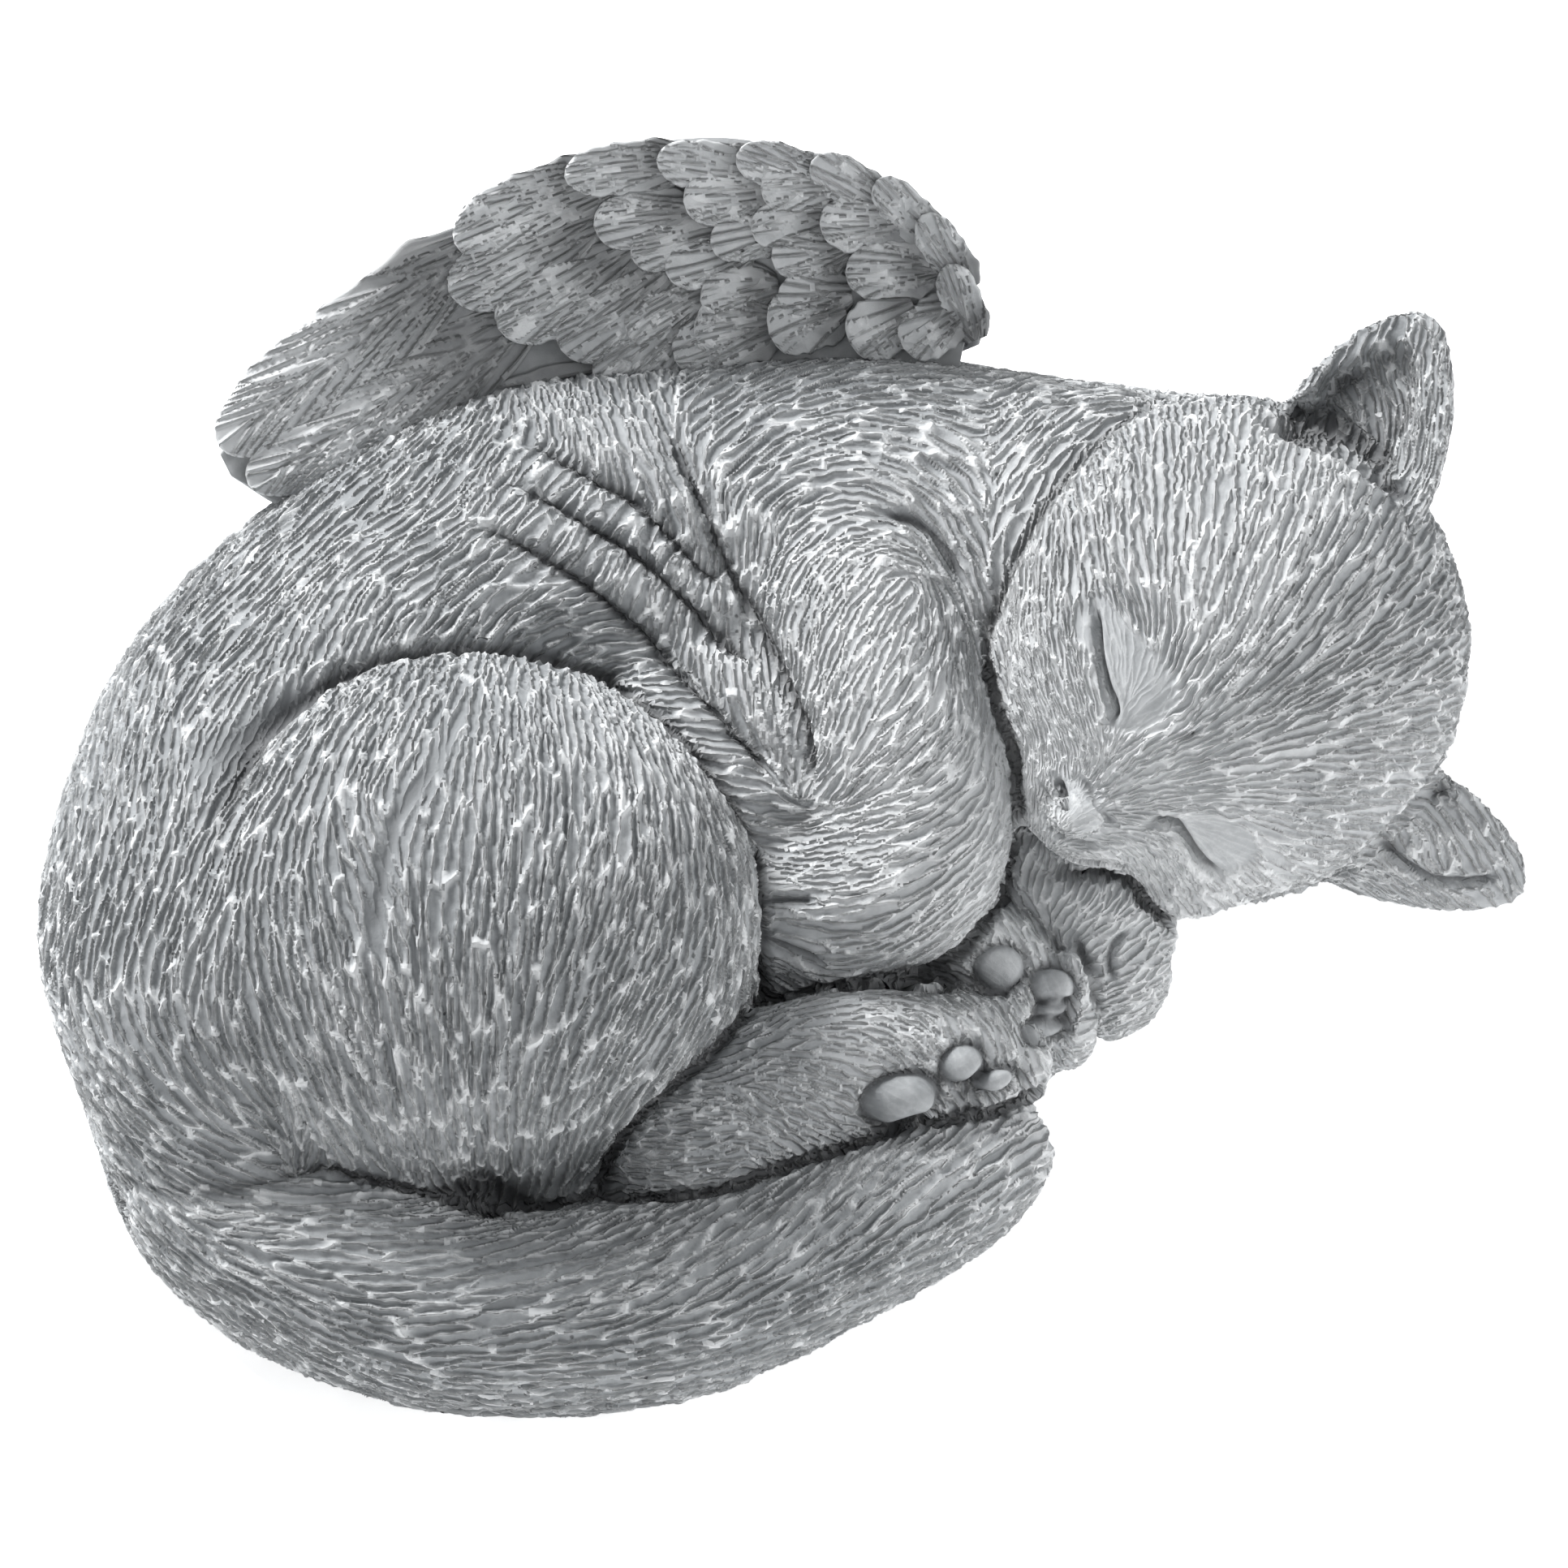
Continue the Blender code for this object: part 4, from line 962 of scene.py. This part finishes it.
def underside(points, faces, inward):
    """Plate that closes the statue on the ground: flat triangles between the rim's points, and above them a second
    layer that keeps inside the body."""
    rim, ends = np.unique(open_edges(faces, len(points)), return_inverse=True)
    ends = ends.reshape(-1, 2)
    bm = bmesh.new()
    verts = [bm.verts.new(p) for p in points[rim]]
    drawn = [bm.edges.new((verts[a], verts[b])) for a, b in ends]
    bmesh.ops.triangle_fill(bm, use_beauty=True, use_dissolve=False, edges=drawn, normal=(0, 0, -1))
    bm.verts.index_update()
    flat = np.array([[v.index for v in f.verts] for f in bm.faces])
    bm.free()
    corners = points[rim][flat]
    turned = np.cross(corners[:, 1] - corners[:, 0], corners[:, 2] - corners[:, 0])[:, 2] > 0
    flat[turned] = flat[turned][:, ::-1]
    above = points[rim] - inward[rim] * (0.4, 0.4, 0) + (0, 0, 0.6)
    count = len(rim)
    wall = np.stack([ends[:, 0], ends[:, 1], count + ends[:, 1], count + ends[:, 0]], axis=1)
    lid = flat[:, ::-1] + count
    plate = np.vstack([flat, lid])
    return np.vstack([points[rim], above]), np.vstack([np.c_[plate, plate[:, 2]], wall])


def piece(name, points, faces, attributes, walls, normals, stone):
    """One closed piece of the statue: its used points only, shaded by the normals of the whole skin."""
    used, numbers = np.unique(faces, return_inverse=True)
    compact = numbers.reshape(faces.shape)
    compact[compact[:, 2] == compact[:, 3], 3] = -1
    mesh = mesh_of(name, points[used], compact, {k: v[used] for k, v in attributes.items()}, walls)
    if normals is not None:
        mesh.normals_split_custom_set_from_vertices(normals[used].tolist())
    mesh.materials.append(stone)
    made = shown(name, mesh)
    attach(made, "root")
    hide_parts("sleeping_kitten")
    return made


def kitten(stone):
    """The whole body: skin, carving and fur, parted into closed pieces along the forms."""
    points, faces, edges = body_skin()
    normals = normals_of(points, faces)
    reaches = form_reaches(points)
    points, bare, shade_and_wash = carved(points, normals, reaches)
    points[:, 2] = np.maximum(points[:, 2], 0)
    normals = normals_of(points, faces)
    # Painted shade, with a wash of stain: the hollows below their neighbourhood and the carved marks are darkened
    # through the crease attribute.
    creases, brush_and_painted_light, inward = hollowness(points, normals, faces, edges)
    creases = np.clip(creases + 0.8 * np.clip(shade_and_wash, 0, 1), 0, 1)
    # Painted light: the muzzle and the whole head are painted paler where they are lit bright; the convex tops from
    # above are paler, partly dry-brush and partly painted light.
    muzzle = np.linalg.norm(points - place(MUZZLE_MIDDLE)[0], axis=1)
    brush_and_painted_light = brush_and_painted_light + MUZZLE_PAINTED_LIGHT[0] * np.exp(-((muzzle / MUZZLE_PAINTED_LIGHT[1]) ** 2))
    brush_and_painted_light = brush_and_painted_light + HEAD_PAINTED_LIGHT[0] * np.exp(-((muzzle / HEAD_PAINTED_LIGHT[1]) ** 4))
    ways, sizes, label, names = fur_field(points, normals, reaches)
    grounded = points[:, 2] <= 0.01
    bare = np.maximum(bare, grounded)
    points, _, _ = gouged(points, normals, faces, edges, ways, sizes * LOCKS, bare, cell=16, wave=0.8)
    normals = normals_of(points, faces)
    points, ridge, walls = gouged(points, normals, faces, edges, ways, sizes, bare)
    points[:, 2] = np.where(grounded, 0, np.maximum(points[:, 2], 0))
    normals = normals_of(points, faces)
    # crease carries painted shade with a wash of stain; crown carries dry-brush and painted light.
    attributes = {"ridge": ridge, "crease": creases, "crown": brush_and_painted_light, "bare": bare}

    face_label = label[faces[:, 0]]
    middle = points[faces].mean(axis=1)
    flat = seen(middle)
    form = {n: face_label == i for i, n in enumerate(names)}
    head = form["head"] | form["ears"]
    chosen = [head & (flat[:, 0] < FACE_EDGE), head, form["tail"], form["haunch"], form["foreleg"], form["feet"],
              flat[:, 0] < RUMP_EDGE, middle[:, 0] > SHOULDERS_EDGE]
    group = np.select(chosen, list(range(len(chosen))), len(chosen))
    for number, title in enumerate(PIECES):
        more, full, verts = closed(points, faces[group == number], inward)
        extra = len(more) - len(points)
        values = {k: np.r_[v, np.full(extra, 0.5)] for k, v in attributes.items()}
        shading = np.vstack([normals, normals[verts], (0, 0, 1)])
        plain = np.full((len(full) - (group == number).sum(), 4), NO_WALL)
        piece(title, more, full, values, np.vstack([walls[group == number], plain]), shading, stone)
    flat_points, plate = underside(points, faces, inward)
    values = {k: np.full(len(flat_points), 0.5) for k in attributes}
    piece("kitten_underside", flat_points, plate, values, np.full(plate.shape, NO_WALL), None, stone)


def wing_points(x, w, lift):
    """Points over the cupped front face of the near wing: depth grows as x squared and as w above its foot squared."""
    above_foot = np.maximum(w - WING_FOOT_W, 0)
    depth = WING_DEPTH + WING_CURL_X * x * x + WING_CURL_W * above_foot**2 + lift
    flat = np.stack([x, w, w * math.cos(VIEW_ANGLE) + depth * math.sin(VIEW_ANGLE)], axis=-1)
    return place(flat.reshape(-1, 3)).reshape(x.shape + (3,))


def wing_slab(scale, front, back):
    """Body of a wing: each ring runs down its front face and back up its rear face, from the shoulder to the tip."""
    lead = WING_HUB + (smooth_path(LEADING_EDGE, 6) - WING_HUB) * scale
    trail = WING_HUB + (smooth_path(TRAILING_EDGE, 6) - WING_HUB) * scale
    t = np.r_[np.linspace(0, 1, 30), np.linspace(1, 0, 30)][None, :, None]
    flat = lead[:, None] * (1 - t) + trail[:, None] * t
    rounding = np.minimum(1, np.minimum(t[..., 0], 1 - t[..., 0]) * 18 + 0.25)
    middle, half = (front + back) / 2, (front - back) / 2
    side = np.r_[np.ones(30), -np.ones(30)][None, :]
    grain = 0.12 * wavy(np.c_[flat.reshape(-1, 2), np.zeros(flat.shape[0] * 60)], 5, 11).reshape(flat.shape[:2])
    points = wing_points(flat[..., 0], flat[..., 1], middle + side * (half * rounding + grain))
    first, last = points[:1].mean(axis=1, keepdims=True), points[-1:].mean(axis=1, keepdims=True)
    points = np.concatenate([np.repeat(first, 60, axis=1), points, np.repeat(last, 60, axis=1)])
    count = points.shape[0] * 60
    faces = ring_quads(len(points), 60)
    # The slab shows between the feathers: its crease value 0.45 is painted shade.
    return points.reshape(-1, 3), faces, np.full(count, 0.4), np.full(count, 0.45), np.full(faces.shape, NO_WALL)


def barbs(run, aside, length, width, rng):
    """Long cells with thin walls, as in the fur: on a long feather they slant away from its quill, on a short one they
    fan out from its root. Gives the depth of the floor, 0 to 1, and what wall_values asks for."""
    quilled = length > QUILLED_LENGTH
    long, wide, turned = LONG_BARBS if quilled else SHORT_BARBS
    count = int(length * width / (0.65 * long * wide))
    seeds = rng.uniform((0, -1), (1.02, 1), (count, 2)) * (length, width / 2)
    slants = turned * np.sign(seeds[:, 1]) if quilled else turned * seeds[:, 1] / (seeds[:, 0] + 0.25 * length)
    turns = np.arctan(slants) + rng.normal(0, 0.06, len(seeds))
    ways = np.stack([np.cos(turns), np.sin(turns)], axis=1)
    places = np.stack([run, aside], axis=-1).reshape(-1, 2)
    reach = stretched(places[:, None] - seeds[None], ways[None], ways[None], long / 2, wide / 2)
    order = np.argpartition(reach, 1, axis=1)[:, :2]
    first, second = np.take_along_axis(reach, order, axis=1).T
    owner, other = order.T
    ends, slope = between_strokes(seeds[other] - seeds[owner], ways[owner], long / 2, wide / 2)
    gaps = (second - first) / slope
    t = np.clip(gaps * WALL_REACH + 0.4 * ends, 0, 1).reshape(run.shape)

    def distance(of, to):
        return stretched(places[of] - seeds[to], ways[to], ways[to], long / 2, wide / 2)

    return 1 - (1 - t) ** 2, (gaps, owner, other, ends, slope, distance)


def feather(tip, heading, length, width, base, outward, spacing, seed):
    """One feather: a leaf outline carried root to tip, crowned across, lifted to the tip and gouged with barbs.

    With a from root to tip and b across, the top stands at lift a1.5 + crown (1 - b2) + 1.2, less the barbs' depth."""
    rng = np.random.default_rng(seed)
    rows, across = max(int(length / spacing), 8), max(int(width / spacing), 6)
    a = np.r_[0, np.linspace(0, 1, rows), 1][:, None]
    b = np.linspace(-1, 1, across)[None, :]
    rear = np.linspace(1, -1, 5)[None, 1:-1]
    outline = np.minimum(1, a / 0.25 + 0.25) ** 0.5 * np.sqrt(np.clip(1 - (np.maximum(a - 0.6, 0) / 0.4) ** 2.2, 0, 1))
    outline = outline * (1 + 0.03 * np.sin(a * 23 + seed) + 0.02 * np.sin(a * 41 + 2 * seed))
    half = width / 2 * outline
    half[0], half[-1] = 0, 0
    run, aside = a * length + 0 * b, b * half
    value, of_walls = barbs(run, aside, length, width, rng)
    value = value * rng.uniform(0.75, 1.0)
    if length > QUILLED_LENGTH:
        quill = 1.3 * np.exp(-((aside / 0.5) ** 2)) * ease(0.0, 0.1, a) * (1 - ease(0.85, 0.98, a))
        value = np.maximum(value, quill)
    edge = ease(0.0, 0.8, half - np.abs(aside)) * ease(0, 1.0, (1 - a) * length)
    crown = 0.9 * width / 10 * (1 - b * b) * outline
    lift = FEATHER_LIFT * a**1.5
    top = lift + crown + 1.2 - 0.7 * value * edge - 0.7 * (1 - edge) ** 2
    under = np.broadcast_to(lift - 0.5, (len(a), 3))
    height = np.concatenate([top, under], axis=1)
    cross = np.concatenate([aside, rear * half], axis=1) + rng.uniform(-0.2, 0.2) * width * (a * (1 - a))
    turn = math.radians(heading)
    ahead, side = np.array([math.cos(turn), math.sin(turn)]), np.array([-math.sin(turn), math.cos(turn)])
    along = (a - 1) * length + 0 * cross
    flat = np.array(tip) + along[..., None] * ahead + cross[..., None] * side
    points = wing_points(flat[..., 0], flat[..., 1], base + outward * height)
    around_count = points.shape[1]
    faces = ring_quads(len(points), around_count)
    if outward > 0:
        faces = faces[:, ::-1]
    on_top = np.minimum(np.arange(around_count), across - 1)[None, :] + across * np.arange(len(a))[:, None]
    walls = wall_values(on_top.ravel()[faces], *of_walls)
    walls[(faces % around_count >= across).any(axis=1)] = NO_WALL
    ridge = 0.22 * np.clip(1 - value * edge / 0.7, 0, 1) * (0.5 + 0.5 * a) + 0.52 + 0.25 * (1 - edge) * a
    # Painted shadow: the root of each feather, tucked under the next one, and its underside are darkened through
    # hidden.
    hidden = 0.85 * (1 - ease(0.2, 0.62, a)) + 0 * aside
    ridge = np.concatenate([ridge, np.full((len(a), 3), 0.2)], axis=1)
    hidden = np.concatenate([hidden, np.full((len(a), 3), 0.9)], axis=1)
    return points.reshape(-1, 3), faces, ridge.ravel(), hidden.ravel(), walls


def wing(name, slabs, base, outward, scale, spacing, stone):
    """A wing: its slabs, and its rows of feathers on the face at depth base that looks outward."""
    parts = [wing_slab(*slab) for slab in slabs]
    seed = 0
    for count, tips, headings, lengths, widths in FEATHER_ROWS:
        line = smooth_path(tips, 12)
        for k in range(count):
            share = k / (count - 1)
            tip = WING_HUB + (line[round(share * (len(line) - 1))] - WING_HUB) * scale
            heading, length, width = (p + (q - p) * share for p, q in (headings, lengths, widths))
            width *= FEATHER_WIDENING
            seed += 1
            parts.append(feather(tip, heading, length, width, base, outward, spacing, seed))
    points, faces = joined([part[:2] for part in parts])
    ridge, hidden = (np.concatenate([part[k] for part in parts]) for k in (2, 3))
    plain = np.zeros(len(points))
    # The crease attribute carries the painted shadow of the feathers and slabs.
    values = {"ridge": ridge, "crease": hidden, "crown": plain, "bare": plain}
    return piece(name, points, faces, values, np.vstack([part[4] for part in parts]), None, stone)


def cast_stone():
    """Cool grey cast stone: darker in the grooves, dry-brushed pale on the ridges, fine grain and a few pinholes.
    Painted shade, with a wash of stain, in the creases and hollows and under the feathers; painted light, partly
    dry-brush, on the tops, the head and the muzzle; painted shade in the pinholes.
    """
    stone = bpy.data.materials.new("cast_stone")
    stone.use_nodes = True
    tree = stone.node_tree
    nodes, links = tree.nodes, tree.links
    shader = nodes["Principled BSDF"]
    shader.inputs["Roughness"].default_value = 0.82
    shader.inputs["Specular IOR Level"].default_value = 0.3

    def node(kind, **values):
        made = nodes.new(kind)
        for key, value in values.items():
            setattr(made, key, value)
        return made

    def attribute(name):
        return node("ShaderNodeAttribute", attribute_name=name).outputs["Fac"]

    def maths(operation, a, b=0.0):
        made = node("ShaderNodeMath", operation=operation)
        for socket, value in zip(made.inputs, (a, b)):
            if isinstance(value, (int, float)):
                socket.default_value = value
            else:
                links.new(value, socket)
        return made.outputs[0]

    def ranged(value, low, high, to_low=0.0, to_high=1.0):
        made = node("ShaderNodeMapRange", interpolation_type="SMOOTHSTEP")
        links.new(value, made.inputs["Value"])
        for title, number in (("From Min", low), ("From Max", high), ("To Min", to_low), ("To Max", to_high)):
            made.inputs[title].default_value = number
        return made.outputs["Result"]

    def mixed(factor, a, b):
        made = node("ShaderNodeMix", data_type="RGBA")
        links.new(factor, made.inputs["Factor"])
        for socket, value in zip((made.inputs[6], made.inputs[7]), (a, b)):
            if isinstance(value, tuple):
                socket.default_value = (*value, 1)
            else:
                links.new(value, socket)
        return made.outputs[2]

    def noise(scale, detail=3.0, rough=0.55):
        made = node("ShaderNodeTexNoise")
        links.new(coordinates, made.inputs["Vector"])
        made.inputs["Scale"].default_value = scale
        made.inputs["Detail"].default_value = detail
        made.inputs["Roughness"].default_value = rough
        return made.outputs["Fac"]

    def bumped(height, strength, distance):
        made = node("ShaderNodeBump")
        made.inputs["Strength"].default_value = strength
        made.inputs["Distance"].default_value = distance
        links.new(height, made.inputs["Height"])
        return made

    coordinates = node("ShaderNodeTexCoord").outputs["Object"]
    patches = noise(55, 3)
    mottle = noise(420, 4)
    grain = noise(2600, 3, 0.7)
    off_wall = maths("MINIMUM", maths("MULTIPLY", maths("ABSOLUTE", attribute("wall")), WALL_REACH), 1.0)
    furred = maths("SUBTRACT", 1.0, maths("MULTIPLY", attribute("bare"), 0.95))
    wall = maths("MULTIPLY", maths("POWER", maths("SUBTRACT", 1.0, off_wall), 2.0), furred)
    crest = maths("MULTIPLY", ranged(off_wall, 0.05, 0.38, 1.0, 0.0), furred)
    brushed = attribute("ridge")
    # The crown attribute adds paleness that is partly dry-brush and partly painted light on the tops, the head and the
    # muzzle.
    for part, share in ((attribute("bare"), -0.2), (crest, 0.42), (maths("SUBTRACT", mottle, 0.5), 0.5),
                        (maths("SUBTRACT", patches, 0.5), 0.6), (attribute("crown"), 0.2)):
        brushed = maths("ADD", brushed, maths("MULTIPLY", part, share))
    ramp = node("ShaderNodeValToRGB")
    links.new(brushed, ramp.inputs["Fac"])
    steps = [(0.0, (0.315, 0.33, 0.342)), (0.3, (0.49, 0.507, 0.52)), (0.62, (0.67, 0.686, 0.696)),
             (1.0, (0.80, 0.815, 0.825))]
    while len(ramp.color_ramp.elements) < len(steps):
        ramp.color_ramp.elements.new(0.5)
    for element, (where, shade) in zip(ramp.color_ramp.elements, steps):
        element.position, element.color = where, (*shade, 1)
    # Painted shade: the crease attribute darkens the creases and hollows, with a wash of stain, and the overlapped
    # roots and undersides of the feathers and the wing slabs between them.
    colour = mixed(maths("MULTIPLY", attribute("crease"), 0.7), ramp.outputs["Color"], (0.055, 0.055, 0.058))

    # Pinholes: bumped in, and darkened with painted shade.
    holes = node("ShaderNodeTexVoronoi", feature="F1")
    links.new(coordinates, holes.inputs["Vector"])
    holes.inputs["Scale"].default_value = 260
    pit = maths("MULTIPLY", ranged(holes.outputs["Distance"], 0.05, 0.12, 1.0, 0.0), ranged(patches, 0.52, 0.58))
    colour = mixed(maths("MULTIPLY", pit, 0.7), colour, (0.05, 0.05, 0.052))
    links.new(colour, shader.inputs["Base Color"])

    height = maths("ADD", maths("MULTIPLY", grain, 0.5), maths("MULTIPLY", mottle, 0.8))
    height = maths("SUBTRACT", height, pit)
    wall = maths("MULTIPLY", wall, ranged(attribute("crown"), 1.9, 2.7, 1.0, 0.35))
    relief = bumped(wall, 1.0, 0.0011)
    rough = bumped(height, 0.55, 0.00035)
    links.new(relief.outputs["Normal"], rough.inputs["Normal"])
    links.new(rough.outputs["Normal"], shader.inputs["Normal"])
    return stone


def studio():
    """Pale floor, soft white surroundings, a broad light from behind and above, and the camera of the photograph."""
    span = 4.0
    corners = np.array([(-span, -span), (span, -span), (span, span), (-span, span)])
    floor = shown("floor", mesh_of("floor", np.c_[corners / MM, np.zeros(4)], np.array([[0, 1, 2, 3]])))
    paint = bpy.data.materials.new("pale_floor")
    paint.use_nodes = True
    for title, value in (("Base Color", (0.92, 0.92, 0.92, 1)), ("Emission Color", (1, 1, 1, 1)),
                         ("Emission Strength", 0.6), ("Roughness", 0.9)):
        paint.node_tree.nodes["Principled BSDF"].inputs[title].default_value = value
    floor.data.materials.append(paint)

    world = bpy.data.worlds.new("white_room")
    world.use_nodes = True
    world.node_tree.nodes["Background"].inputs["Color"].default_value = (0.97, 0.985, 1.0, 1)
    world.node_tree.nodes["Background"].inputs["Strength"].default_value = 0.33
    bpy.context.scene.world = world
    for name, spot, size, power in LIGHTS:
        light = bpy.data.lights.new(name, "AREA")
        light.size = size
        light.energy = power
        made = bpy.data.objects.new(name, light)
        made.location = spot
        made.rotation_euler = made.location.to_track_quat("Z", "Y").to_euler()
        bpy.context.scene.collection.objects.link(made)

    camera = bpy.data.cameras.new("camera")
    camera.sensor_width = 36
    camera.lens = camera.sensor_width * CAMERA_DISTANCE / PICTURE_WIDTH
    camera.clip_end = 20
    made = bpy.data.objects.new("camera", camera)
    target = (np.array(PICTURE_MIDDLE) @ (RIGHT, UP, TOWARDS) - FOOTPRINT_MIDDLE) * MM
    made.location = target + TOWARDS * CAMERA_DISTANCE
    made.rotation_euler = (math.pi / 2 - VIEW_ANGLE, 0, 0)
    bpy.context.scene.collection.objects.link(made)
    bpy.context.scene.camera = made
    bpy.context.scene.view_settings.view_transform = "Standard"


STONE = cast_stone()
kitten(STONE)
FAR_BACK = -FAR_WING_DEPTH - WING_WALL
NEAR_SLABS = [(1.0, 0.0, -WING_WALL), (CORE_SCALE, -1.0, FAR_BACK + 1.0)]
FAR_SLABS = [(FAR_WING_SCALE, -FAR_WING_DEPTH, FAR_BACK)]
wing("near_wing", NEAR_SLABS, base=0.0, outward=1.0, scale=1.0, spacing=NEAR_SPACING, stone=STONE)
wing("far_wing", FAR_SLABS, base=FAR_BACK, outward=-1.0, scale=FAR_WING_SCALE, spacing=FAR_SPACING, stone=STONE)
studio()
